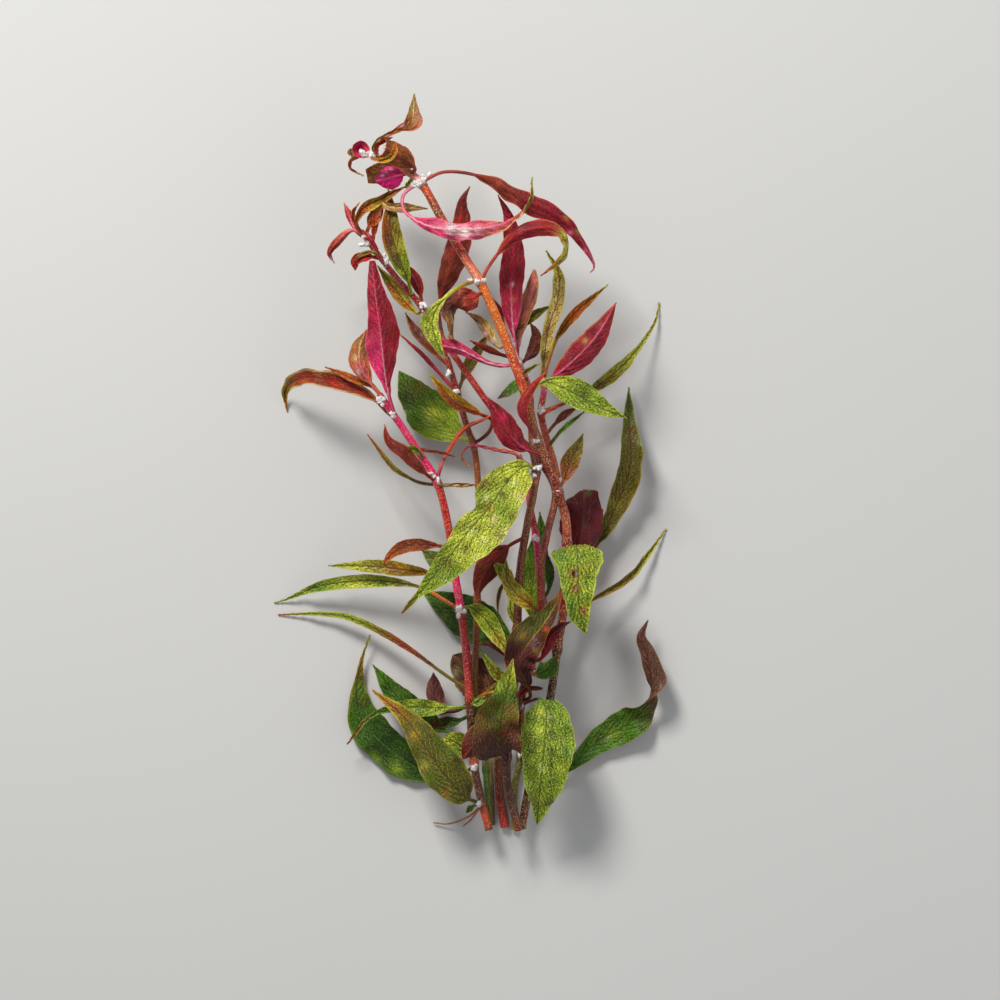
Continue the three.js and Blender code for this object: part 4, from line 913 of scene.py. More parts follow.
        route=((470, 706, 15), (474, 704, 18.5), (480, 701, 19.5), (487, 698, 19))),
    "small_ll9": dict(
        stem="stem_d", coat=("orange", "gold", "lime", "green"), width=4.4,
        patches=((492, 668, 2.4, ORANGE), (497, 676, 2.4, ORANGE), (488, 660, 2, GOLD)),
        route=((476, 700, 11), (490, 692, 15), (502, 683, 17), (492, 668, 19), (480, 650, 18))),
}

# White wool on each stem: column, row and height of a clump's middle, how far it spreads over
# columns and rows, in pixels, and the number of its lumps
TUFTS = {
    "stem_a": ((424, 181, 37, 6, 5, 10), (417, 186, 37, 4, 2, 6), (474, 284, 45, 6, 2.5, 10),
               (483, 281, 44.5, 2.5, 5, 5), (373, 156, 39, 11, 2, 12), (388, 152, 39.5, 3, 2, 3),
               (541, 409, 41, 4, 4, 6), (536, 440, 40.5, 3, 3, 5), (558, 490, 31, 2, 3, 3)),
    "stem_b": ((423, 308, 27, 3, 4, 6), (387, 261, 29, 3, 6, 9), (366, 245, 30, 5, 2, 5),
               (541, 617, 23, 2, 2.5, 4), (364, 237, 32, 2, 2, 2)),
    "stem_c": ((511, 346, 33, 2.5, 10, 12), (517, 362, 32, 3, 3, 6), (538, 467, 35, 4, 2.5, 6),
               (534, 476, 34, 4, 2, 5)),
    "stem_d": ((448, 377, 23, 2, 5, 4), (457, 391, 22, 2, 2, 2)),
    "side_shoot": ((541, 412, 28, 3, 3, 6),),
    "stem_f": ((521, 707, 8, 3, 4, 7), (521, 757, 5, 3, 3, 5), (534, 537, 24, 2.5, 2.5, 4)),
    "stem_g": ((432, 477, 32, 3, 4, 7), (438, 479, 32, 1.5, 5, 5), (459, 610, 24, 3, 6, 11),
               (464, 612, 24, 3, 2, 3), (381, 401, 33.5, 3, 4, 7), (393, 415, 33.5, 2.5, 4, 7),
               (474, 767, 12.5, 4, 3, 5), (477, 806, 12, 4, 4, 8)),
}


def place(points):
    """The places in metres of points given by the photograph's column and row and a height."""
    columns, rows, heights = np.array(points, float).T
    return np.column_stack([
        (columns - CENTRE_COLUMN) * METRES_PER_PIXEL,
        (CENTRE_ROW - rows) * METRES_PER_PIXEL,
        heights * MM,
    ])


def unit(vectors):
    """The vectors at a length of 1."""
    return vectors / np.maximum(np.linalg.norm(vectors, axis=-1, keepdims=True), 1e-12)


def smoothstep(low, high, values):
    """0 below the low value, 1 above the high one, and a soft step between them."""
    share = np.clip((values - low) / (high - low), 0, 1)
    return share * share * (3 - 2 * share)


class Route:
    """A smooth line through points, read by the share of its length."""

    def __init__(self, points):
        knots = place(points)
        knots = np.vstack([2 * knots[0] - knots[1], knots, 2 * knots[-1] - knots[-2]])
        share = np.linspace(0, 1, ROUTE_STEPS, endpoint=False)[:, None]
        pieces = []
        for before, start, end, after in zip(knots, knots[1:], knots[2:], knots[3:]):
            gap_in, gap, gap_out = (
                max(np.linalg.norm(b - a), 1e-9) ** 0.5
                for a, b in ((before, start), (start, end), (end, after)))
            leave = (start - before) / gap_in - (end - before) / (gap_in + gap) + (end - start) / gap
            arrive = (end - start) / gap - (after - start) / (gap + gap_out) + (after - end) / gap_out
            pieces.append(
                start * (2 * share ** 3 - 3 * share ** 2 + 1)
                + end * (3 * share ** 2 - 2 * share ** 3)
                + leave * gap * (share ** 3 - 2 * share ** 2 + share)
                + arrive * gap * (share ** 3 - share ** 2))
        self.line = np.vstack(pieces + [knots[-2:-1]])
        stretches = np.linalg.norm(np.diff(self.line, axis=0), axis=1)
        self.travelled = np.concatenate([[0], np.cumsum(stretches)])
        self.length = self.travelled[-1]

    def at(self, shares):
        where = np.asarray(shares) * self.length
        return np.column_stack([np.interp(where, self.travelled, axis) for axis in self.line.T])

    def heading(self, shares):
        reach = 0.004
        ahead = self.at(np.clip(np.asarray(shares) + reach, 0, 1))
        behind = self.at(np.clip(np.asarray(shares) - reach, 0, 1))
        return unit(ahead - behind)


def along_list(values, shares):
    """Colours in a list, read at shares of its length with straight steps between them."""
    values = np.array(values, float)
    if len(values) == 1:
        return np.repeat(values, len(shares), axis=0)
    where = np.clip(shares, 0, 1) * (len(values) - 1)
    first = np.minimum(where.astype(int), len(values) - 2)
    share = where - first
    share = share.reshape(share.shape + (1,) * (values.ndim - 1))
    return values[first] * (1 - share) + values[first + 1] * share


def curve_list(values, shares):
    """One number, or a list of them read at shares of its length on a smooth curve."""
    values = np.atleast_1d(np.array(values, float))
    if len(values) == 1:
        return np.repeat(values, len(shares))
    knots = np.concatenate([[2 * values[0] - values[1]], values, [2 * values[-1] - values[-2]]])
    where = np.clip(shares, 0, 1) * (len(values) - 1)
    first = np.minimum(where.astype(int), len(values) - 2)
    share = where - first
    before, start, end, after = (knots[first + step] for step in range(4))
    return start + share / 2 * (
        end - before
        + share * (2 * before - 5 * start + 4 * end - after)
        + share ** 2 * (3 * start - before - 3 * end + after))


def new_piece(name, vertices, faces, material):
    """A smooth mesh that rides on the plant."""
    mesh = bpy.data.meshes.new(name)
    mesh.from_pydata(vertices.tolist(), [], faces)
    mesh.polygons.foreach_set("use_smooth", [True] * len(mesh.polygons))
    mesh.materials.append(material)
    mesh.update()
    piece = bpy.data.objects.new(name, mesh)
    bpy.context.scene.collection.objects.link(piece)
    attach(piece, "root")
    return piece


def store(piece, name, values):
    """Keeps a number or a colour at each vertex, for the material to read."""
    values = np.asarray(values, float)
    if values.ndim == 1:
        attribute = piece.data.attributes.new(name, "FLOAT", "POINT")
        attribute.data.foreach_set("value", values.astype(np.float32))
        return
    attribute = piece.data.attributes.new(name, "FLOAT_COLOR", "POINT")
    opaque = np.column_stack([values, np.ones(len(values))])
    attribute.data.foreach_set("color", opaque.astype(np.float32).ravel())


def sharpen(piece, flags):
    """Marks the edges whose two ends are both flagged as sharp."""
    edges = np.zeros(len(piece.data.edges) * 2, int)
    piece.data.edges.foreach_get("vertices", edges)
    pairs = flags[edges.reshape(-1, 2)]
    sharp = (pairs[:, 0] == pairs[:, 1]) & (pairs[:, 0] > 0)
    attribute = piece.data.attributes.new("sharp_edge", "BOOLEAN", "EDGE")
    attribute.data.foreach_set("value", sharp)


def both_faces(grid):
    """The values of a grid for the upper face, and the same ones for the underside."""
    return np.concatenate([grid.ravel(), grid.ravel()])


def seed_of(name):
    """A number that starts a piece's own random draws."""
    return sum((place_in_name + 1) * ord(letter) for place_in_name, letter in enumerate(name))


def any_phase(chance):
    """Where a wave starts, in radians."""
    return chance.uniform(0, 6)


def vein_phase(along, aside):
    """Counts side veins along a blade, in millimetres: a vein runs where this is a whole number."""
    return (along - VEIN_LEAN * aside - VEIN_CURVE * aside * aside) / VEIN_SPACING


def room_aside(centre, heading, direction):
    """How far each point of a midrib may reach aside before it meets the leaf beside it."""
    room = np.full(len(centre), np.inf)
    window = len(centre) // 5
    slight = 1e-3
    for ahead in range(1, window):
        for sign in (1, -1):
            here = slice(None, -ahead) if sign > 0 else slice(ahead, None)
            there = slice(ahead, None) if sign > 0 else slice(None, -ahead)
            gap = sign * np.einsum("ij,ij->i", centre[there] - centre[here], heading[there])
            nearing = sign * np.einsum("ij,ij->i", direction[here], heading[there])
            limit = BEND_ROOM * gap / np.maximum(nearing, slight)
            meets = (gap > 0) & (nearing > slight)
            room[here] = np.where(meets, np.minimum(room[here], limit), room[here])
    return room


def cross_section(fold, cup, aside):
    """How far out and how far up each column lies, for each row, as shares of the half width."""
    reach = np.linspace(0, 1, SECTION_STEPS + 1)
    bend = np.radians(fold[:, None] + cup[:, None] * reach)
    pick = np.round(np.abs(aside) * SECTION_STEPS).astype(int)
    out = np.cumsum(np.cos(bend), axis=1) / SECTION_STEPS
    up = np.cumsum(np.sin(bend), axis=1) / SECTION_STEPS
    return (out - out[:, :1])[:, pick], (up - up[:, :1])[:, pick]


def punch(middle, holes):
    """Rounds the grid about each hole and tells which of its faces fall inside."""
    prefer_high = 0.05
    inside = np.zeros(np.array(middle.shape[:2]) - 1, bool)
    for column, row, radius in holes:
        target = place([(column, row, 0)])[0]
        away = np.linalg.norm((middle - target)[..., :2], axis=2) - middle[..., 2] * prefer_high
        nearest = np.unravel_index(np.argmin(away), away.shape)
        spokes = middle - middle[nearest]
        distance = np.linalg.norm(spokes, axis=2)
        size = radius * METRES_PER_PIXEL
        corners = [distance[:-1, :-1], distance[1:, :-1], distance[:-1, 1:], distance[1:, 1:]]
        here = np.mean(corners, axis=0) < size
        inside |= here
        touched = np.zeros(distance.shape, bool)
        kept = np.zeros(distance.shape, bool)
        for rows in (slice(None, -1), slice(1, None)):
            for columns in (slice(None, -1), slice(1, None)):
                touched[rows, columns] |= here
                kept[rows, columns] |= ~here
        brim = touched & kept
        middle[brim] = middle[nearest] + spokes[brim] / distance[brim][:, None] * size
    return inside


def shell_faces(rows, columns, inside):
    """The faces of a closed shell: a grid above, the same below, and walls at every open edge."""
    count = rows * columns
    faces = []

    def wall(first, second):
        faces.append((first, second, second + count, first + count))

    for row in range(rows - 1):
        for column in range(columns - 1):
            if inside[row, column]:
                continue
            corner = row * columns + column
            beyond = corner + columns
            faces.append((corner, beyond, beyond + 1, corner + 1))
            faces.append((corner + count, corner + count + 1, beyond + count + 1, beyond + count))
            if row == 0 or inside[row - 1, column]:
                wall(corner, corner + 1)
            if row == rows - 2 or inside[row + 1, column]:
                wall(beyond + 1, beyond)
            if column == 0 or inside[row, column - 1]:
                wall(beyond, corner)
            if column == columns - 2 or inside[row, column + 1]:
                wall(corner + 1, beyond + 1)
    return faces


def half_widths(chance, on_blade, bladed, width, full, sides):
    """Half the width along each side: a narrow petiole, then a blade that runs out to a point."""
    inner = np.clip(on_blade, 1e-4, 1 - 1e-4)
    swell = width / 2 * MM * np.sin(np.pi * inner ** BLADE_POWER) ** full
    stalk = (PETIOLE_WIDTH + (TIP_WIDTH - PETIOLE_WIDTH) * on_blade ** STALK_POWER) / 2
    nick = np.ones(len(on_blade))
    for waves, deep in NICKS:
        nick += deep * np.sin(on_blade * waves + any_phase(chance))
    halves = []
    for factors in sides:
        spread = swell * np.maximum(curve_list(factors, on_blade), 0) * bladed * nick
        halves.append((spread ** MEETING_POWER + stalk ** MEETING_POWER) ** (1 / MEETING_POWER))
    return halves


def skin_relief(chance, length, wave, on_blade, aside, half_grid, along_mm, aside_mm):
    """How far the skin stands off its smooth section: the quilts and swells, and the wavy margin."""
    # The skin swells between side veins, which leave the midrib by turns
    minus = (aside < 0)[None, :]
    phase = vein_phase(along_mm, aside_mm) + 0.5 * minus
    quilt = QUILT_HEIGHT * np.cos(2 * np.pi * phase) * np.sin(np.pi * np.abs(aside))[None, :]
    for _ in range(SWELLS):
        pace, drift = chance.uniform(*SWELL_PACE), chance.uniform(*SWELL_DRIFT)
        quilt += SWELL_HEIGHT / 2 * np.sin(
            along_mm * pace + aside_mm * np.where(minus, -drift, drift) + any_phase(chance)
        ) * np.minimum(aside_mm / SWELL_START, 1)
    beats = length / MM / chance.uniform(*RIPPLE_LENGTH)
    ripple = np.where(
        minus,
        np.sin(2 * np.pi * beats * on_blade[:, None] + any_phase(chance)),
        np.sin(2 * np.pi * beats * RIPPLE_SECOND_PACE * on_blade[:, None] + any_phase(chance)))
    ripple *= (wave * MM * (np.abs(aside) ** RIPPLE_POWER)[None, :]
               * np.minimum(half_grid / RIPPLE_HALF_WIDTH, RIPPLE_MOST))
    return quilt, ripple


def blade_corners(middle, aside, aside_mm, on_blade, bladed):
    """The corners above and below: a rounded petiole that thins into the blade, and the midrib."""
    facing = unit(np.cross(np.gradient(middle, axis=0), np.gradient(middle, axis=1)))
    round_stalk = PETIOLE_THICKNESS / 2 * np.sqrt(1 - STALK_ROUNDNESS * aside ** 2)[None, :]
    flat = MARGIN_THICKNESS / 2 + (BLADE_THICKNESS - MARGIN_THICKNESS) / 2 * (1 - aside ** 2)[None, :]
    depth = round_stalk * (1 - bladed[:, None]) + flat * bladed[:, None]
    thin = bladed[:, None] * (1 - MIDRIB_LOSS * on_blade[:, None])
    rib = np.exp(-(aside_mm * MM / MIDRIB_WIDTH) ** 2) * MIDRIB_HEIGHT * thin
    top = middle + facing * (depth - MIDRIB_ABOVE * rib)[..., None]
    below = middle - facing * (depth + rib)[..., None]
    vertices = np.vstack([top.reshape(-1, 3), below.reshape(-1, 3)])
    vertices[:, 2] = np.maximum(vertices[:, 2], FLOOR_GAP)
    return vertices


def paint_blade(piece, vertices, along, on_left, coats, patches):
    """The colours of the skin, ribs and margin along each half, then the patches on the skin."""
    left_coats, right_coats = (
        along_list([np.array(COATS[one]) for one in coat], along) for coat in coats)
    for part, faces_of in {"tint": (0, 1), "rib": (2, 3), "rim": (4, 5)}.items():
        colours = np.vstack([
            (left_coats[:, None, face] * on_left + right_coats[:, None, face] * (1 - on_left))
            .reshape(-1, 3) for face in faces_of])
        if part == "tint":
            for column, row, radius, colour in patches:
                away = vertices[:, :2] - place([(column, row, 0)])[0][:2]
                near = np.linalg.norm(away, axis=1) / (radius * METRES_PER_PIXEL)
                amount = (PATCH_STRENGTH * np.exp(-near ** 2))[:, None]
                colours = colours * (1 - amount) + colour * amount
        store(piece, part, colours)


def blade(name, route, coat, material, width=2.0, full=1.0, left=(1, 1), right=(1, 1),
          petiole=0.1, roll=(0, 0), fold=12, cup=16, wave=0.45, arches=False, right_coat=None,
          rim=(1, 1), patches=(), holes=()):
    """A leaf: a thin closed shell on its midrib, from the stem to the tip."""
    chance = np.random.default_rng(seed_of(name))
    line = Route(route)
    finer = HOLE_FINENESS if holes else 1
    rows = int(np.clip(line.length / BLADE_STEP, *BLADE_ROWS) * finer)
    broad = width * max(*left, *right) * MM
    columns = 2 * int(np.clip(broad / COLUMN_STEP / 2, *HALF_COLUMNS) * finer) + 1
    start = LEAF_FOOT / line.length
    along = start + (1 - start) * np.linspace(0, 1, rows) ** ROW_POWER
    centre, heading = line.at(along), line.heading(along)
    share = np.clip((along * line.length - LEAF_SETBACK) / (line.length - LEAF_SETBACK), 0, 1)
    level = np.cross(UP, heading)
    if arches:
        level = RIGHT - heading * (heading @ RIGHT)[:, None]
    level = unit(level)
    turn = np.radians(curve_list(roll, share))[:, None]
    across = level * np.cos(turn) + np.cross(heading, level) * np.sin(turn)
    normal = np.cross(heading, across)
    past_middle = int(rows * 0.6)
    left_sign = 1 if across[past_middle] @ np.cross(UP, heading[past_middle]) > 0 else -1
    on_blade = np.clip((share - petiole) / (1 - petiole), 0, 1)
    bladed = smoothstep(0, BLADE_RISE, on_blade)
    halves = half_widths(chance, on_blade, bladed, width, full, (left, right))
    half_on = {
        sign: np.minimum(half, room_aside(centre, heading, sign * across))
        for sign, half in zip((left_sign, -left_sign), halves)}

    # The cross-section: each half leaves the midrib at the fold and bends on with the cup
    even = np.linspace(-1, 1, columns)
    aside = np.sign(even) * np.abs(even) ** COLUMN_POWER
    out, up = cross_section(curve_list(fold, share), curve_list(cup, share), aside)
    half_grid = np.where((aside < 0)[None, :], half_on[-1][:, None], half_on[1][:, None])
    aside_mm = np.abs(aside)[None, :] * half_grid / MM
    along_mm = ((along * line.length - LEAF_FOOT) / MM)[:, None] + aside_mm * 0
    quilt, ripple = skin_relief(
        chance, line.length, wave, on_blade, aside, half_grid, along_mm, aside_mm)
    lift = (half_grid * up + quilt + ripple) * bladed[:, None]
    middle = (centre[:, None, :]
              + across[:, None, :] * (half_grid * out * np.sign(aside)[None, :])[..., None]
              + normal[:, None, :] * lift[..., None])
    inside = punch(middle, holes)
    vertices = blade_corners(middle, aside, aside_mm, on_blade, bladed)
    piece = new_piece(name, vertices, shell_faces(rows, columns, inside), material)

    # The sharp rims of both faces, and what the material reads at each vertex
    brink = np.zeros((rows, columns), int)
    brink[:, 0] = brink[:, -1] = brink[0] = brink[-1] = 1
    sharpen(piece, np.concatenate([brink.ravel(), brink.ravel() * 2]))
    on_left = smoothstep(-COAT_BLEND, COAT_BLEND, aside * left_sign)[None, :, None]
    rim_width = np.where(aside * left_sign > 0, rim[0], rim[1])[None, :]
    store(piece, "along_mm", both_faces(along_mm))
    store(piece, "side_mm", both_faces(aside_mm * np.where(aside < 0, -1, 1)))
    to_margin = (1 - np.abs(aside))[None, :] * half_grid / rim_width
    to_tip = ((1 - along) * line.length)[:, None]
    store(piece, "margin_mm", both_faces(np.minimum(to_margin, to_tip) / MM))
    store(piece, "bladed", both_faces(bladed[:, None] + aside_mm * 0))
    store(piece, "below", np.repeat([0.0, 1.0], rows * columns))
    paint_blade(piece, vertices, along, on_left, (coat, right_coat or coat), patches)
    return piece


def tube_faces(loops, sides):
    """The faces of a tube: a fan at its first corner, walls between loops and a fan at its last."""
    faces = []
    last = 1 + loops * sides
    for side in range(sides):
        beside = (side + 1) % sides
        faces.append((0, 1 + side, 1 + beside))
        for loop in range(loops - 1):
            start = 1 + loop * sides
            faces.append((start + side, start + sides + side, start + sides + beside, start + beside))
        faces.append((last - sides + beside, last - sides + side, last))
    return faces


def tube(name, route, thickness, colours, material, nodes=(), sides=STEM_SIDES, step=STEM_STEP,
         cut=True):
    """A stem: a ribbed tube that swells at its nodes, with a rounded top and a cut lower end."""
    chance = np.random.default_rng(seed_of(name))
    line = Route(route)
    rings = max(int(line.length / step), FEWEST_RINGS)
    share = np.linspace(0, 1, rings)
    centre, heading = line.at(share), line.heading(share)
    across = unit(np.cross(heading, UP))
    upward = np.cross(across, heading)
    rows = CENTRE_ROW - centre[:, 1] / METRES_PER_PIXEL
    radius = curve_list(thickness, share) / 2 * MM
    for node in nodes:
        place_of_node = share[np.argmin(np.abs(rows - node))]
        away = (share - place_of_node) * line.length / MM
        radius *= 1 + NODE_SWELLING * np.exp(-(away / NODE_REACH) ** 2)
    deep, pace = GIRTH_WAVE
    radius *= 1 + deep * np.sin(share * line.length / MM * pace + any_phase(chance))
    angle = np.arange(sides) / sides * 2 * np.pi
    turn, turns = RIB_TWIST
    twist = turn * np.sin(share * turns)[:, None]
    number, deep = RIBS
    ribs = 1 + deep * np.cos(number * angle[None, :] + twist)
    number, deep = FINE_RIBS
    ribs += deep * np.cos(number * angle + any_phase(chance))[None, :]
    spokes = (across[:, None, :] * np.cos(angle)[None, :, None]
              + upward[:, None, :] * np.sin(angle)[None, :, None])
    around = centre[:, None, :] + spokes * (radius[:, None] * ribs)[..., None]

    # The ends: a rounded top, and a cut whose pith is sunk a little
    top = [centre[0] + spokes[0] * radius[0] * size - heading[0] * radius[0] * out
           for size, out in TOP_LOOPS]
    sunk = CUT_DEPTH if cut else ROOT_END
    foot = [centre[-1] + spokes[-1] * radius[-1] * size - heading[-1] * radius[-1] * deep
            for size, deep in zip(FOOT_SIZES, (FOOT_LIP, sunk / 2, sunk))]
    loops = [*top, *around, *foot]
    vertices = np.vstack([centre[:1] - heading[:1] * radius[0] * TOP_REACH, *loops,
                          centre[-1:] - heading[-1:] * radius[-1] * sunk])
    vertices[:, 2] = np.maximum(vertices[:, 2], FLOOR_GAP)
    piece = new_piece(name, vertices, tube_faces(len(loops), sides), material)

    def spread(values):
        """Values at the rings, for every corner of the tube and its two ends."""
        above = np.repeat(values[:1], len(top) * sides + 1, axis=0)
        beneath = np.repeat(values[-1:], len(foot) * sides + 1, axis=0)
        return np.concatenate([above, np.repeat(values, sides, axis=0), beneath])

    pith = np.zeros(len(vertices))
    pith[-2 * sides - 1:] = 1 if cut else 0
    starts, shades = zip(*colours)
    tints = np.column_stack([np.interp(rows, starts, shade) for shade in np.array(shades).T])
    store(piece, "along_mm", spread(share * line.length / MM))
    store(piece, "around_mm", np.concatenate([
        [0], np.tile(angle, len(loops)) * np.mean(radius) / MM, [0]]))
    store(piece, "pith", pith)
    store(piece, "tint", spread(tints))
    return piece


def ball():
    """The corners and faces of a ball of radius 1."""
    shape = bmesh.new()
    bmesh.ops.create_icosphere(shape, subdivisions=2, radius=1)
    corners = np.array([corner.co for corner in shape.verts])
    faces = [tuple(corner.index for corner in face.verts) for face in shape.faces]
    shape.free()
    return corners, faces


def lump(chance, middle, size, corners):
    """The corners of a small fluffy clump: a ball whose surface is tossed by a few waves."""
    toss = np.ones(len(corners))
    for _ in range(LUMP_WAVES):
        direction = unit(chance.normal(0, 1, 3))
        toss += LUMP_TOSS * np.sin(corners @ direction * chance.uniform(4, 9) + any_phase(chance))
    stretch = np.exp(chance.normal(0, LUMP_STRETCH, 3))
    return middle + corners * toss[:, None] * stretch * size


def hair(chance, middle, size):
    """A fine curved spike with three sides that stands out from a clump."""
    out = unit(chance.normal(0, 1, 3) + UP * 0.4)
    bent = unit(out + chance.normal(0, 0.8, 3))
    tall = size * chance.uniform(*HAIR_LENGTH)
    thick = chance.uniform(*HAIR_THICKNESS) * MM
    across = unit(np.cross(out, chance.normal(0, 1, 3)))
    other = np.cross(out, across)
    corners = []
    for place_along, share in ((0, 1), (0.4, 0.8), (0.75, 0.5)):
        here = middle + (out * place_along + bent * place_along ** 2 * 0.6) * tall
        for corner in range(3):
            bearing = corner / 3 * 2 * np.pi
            corners.append(here + (across * np.cos(bearing) + other * np.sin(bearing)) * thick * share)
    corners.append(middle + (out + bent * 0.6) * tall)
    faces = [(2, 1, 0), (6, 7, 9), (7, 8, 9), (8, 6, 9)]
    for level in (0, 3):
        for corner in range(3):
            beside = (corner + 1) % 3
            faces.append((level + corner, level + beside, level + 3 + beside, level + 3 + corner))
    return corners, faces


def wool(name, tufts, material, stem):
    """The white wool on a stem: fluffy clumps with fine hairs, as one joined mesh."""
    chance = np.random.default_rng(seed_of(name))
    round_corners, round_faces = ball()
    vertices, faces = [], []

    def join(part_corners, part_faces):
        first = len(vertices)
        vertices.extend(part_corners)
        faces.extend(tuple(corner + first for corner in face) for face in part_faces)

    for column, row, height, wide, tall, lumps in tufts:
        for _ in range(lumps):
            spot = (column + np.clip(chance.normal(0, 0.5), -1, 1) * wide,
                    row + np.clip(chance.normal(0, 0.5), -1, 1) * tall,
                    height + chance.normal(0, 0.3))
            middle = place([spot])[0]
            size = chance.uniform(*LUMP_SIZE) * MM
            join(lump(chance, middle, size, round_corners), round_faces)
            for _ in range(HAIRS):
                join(*hair(chance, middle, size))
    piece = new_piece(name, np.array(vertices), faces, material)
    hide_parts(stem)
    return piece


class Value:
    """A socket of a node tree. Arithmetic on it adds Math nodes."""

    def __init__(self, finish, socket):
        self.finish = finish
        self.socket = socket

    def math(self, operation, first, second=0.0):
        return self.finish.node("Math", {"operation": operation}, {0: first, 1: second})

    def __add__(self, other):
        return self.math("ADD", self, other)

    __radd__ = __add__

    def __mul__(self, other):
        return self.math("MULTIPLY", self, other)

    __rmul__ = __mul__

    def __sub__(self, other):
        return self.math("SUBTRACT", self, other)

    def __rsub__(self, other):
        return self.math("SUBTRACT", other, self)

    def __truediv__(self, other):
        return self.math("DIVIDE", self, other)

    def __abs__(self):
        return self.math("ABSOLUTE", self)

    def part(self):
        return self.math("FRACT", self)

    def above(self, other):
        return self.math("GREATER_THAN", self, other)

    def fade(self, start, end):
        """0 at the start, 1 at the end, with soft ends. The start may be the greater."""
        return self.finish.node(
            "MapRange", {"interpolation_type": "SMOOTHSTEP"},
            {"Value": self, "From Min": start, "From Max": end})


class Finish:
    """A material and the nodes that make it."""

    def __init__(self, name, **constants):
        self.material = bpy.data.materials.new(name)
        self.material.use_nodes = True
        self.tree = self.material.node_tree
        self.shader = self.tree.nodes["Principled BSDF"]
        for socket, value in constants.items():
            self.shader.inputs[socket.replace("_", " ")].default_value = value

    def node(self, kind, settings, inputs, output=0):
        made = self.tree.nodes.new("ShaderNode" + kind)
        for setting, value in settings.items():
            setattr(made, setting, value)
        for socket, value in inputs.items():
            if isinstance(value, Value):
                self.tree.links.new(value.socket, made.inputs[socket])
            else:
                made.inputs[socket].default_value = value
        return Value(self, made.outputs[output])

    def kept(self, name, output="Fac"):
        """A number, or with the output Color a colour, that is kept at each vertex."""
        return self.node("Attribute", {"attribute_name": name}, {}, output)

    def spot(self, x, y, z=0.0):
        return self.node("CombineXYZ", {}, {0: x, 1: y, 2: z})

    def noise(self, where, scale, detail=2.0, distortion=0.0):
        return self.node("TexNoise", {}, {
            "Vector": where, "Scale": scale, "Detail": detail, "Distortion": distortion})

    def mix(self, factor, first, second):
        """A blend of two colours: the first where the factor is 0, the second where it is 1."""
        first, second = (
            colour if isinstance(colour, Value) else (*colour, 1.0) for colour in (first, second))
        return self.node("Mix", {"data_type": "RGBA"}, {0: factor, 6: first, 7: second}, 2)

    def brighten(self, colour, factor):
        """A colour times a number."""
        return self.node("VectorMath", {"operation": "SCALE"}, {0: colour, "Scale": factor})

    def feed(self, socket, value):
        self.tree.links.new(value.socket, self.shader.inputs[socket])

    def relief(self, height, depth, strength):
        self.feed("Normal", self.node("Bump", {}, {
            "Strength": strength, "Distance": depth, "Height": height}))


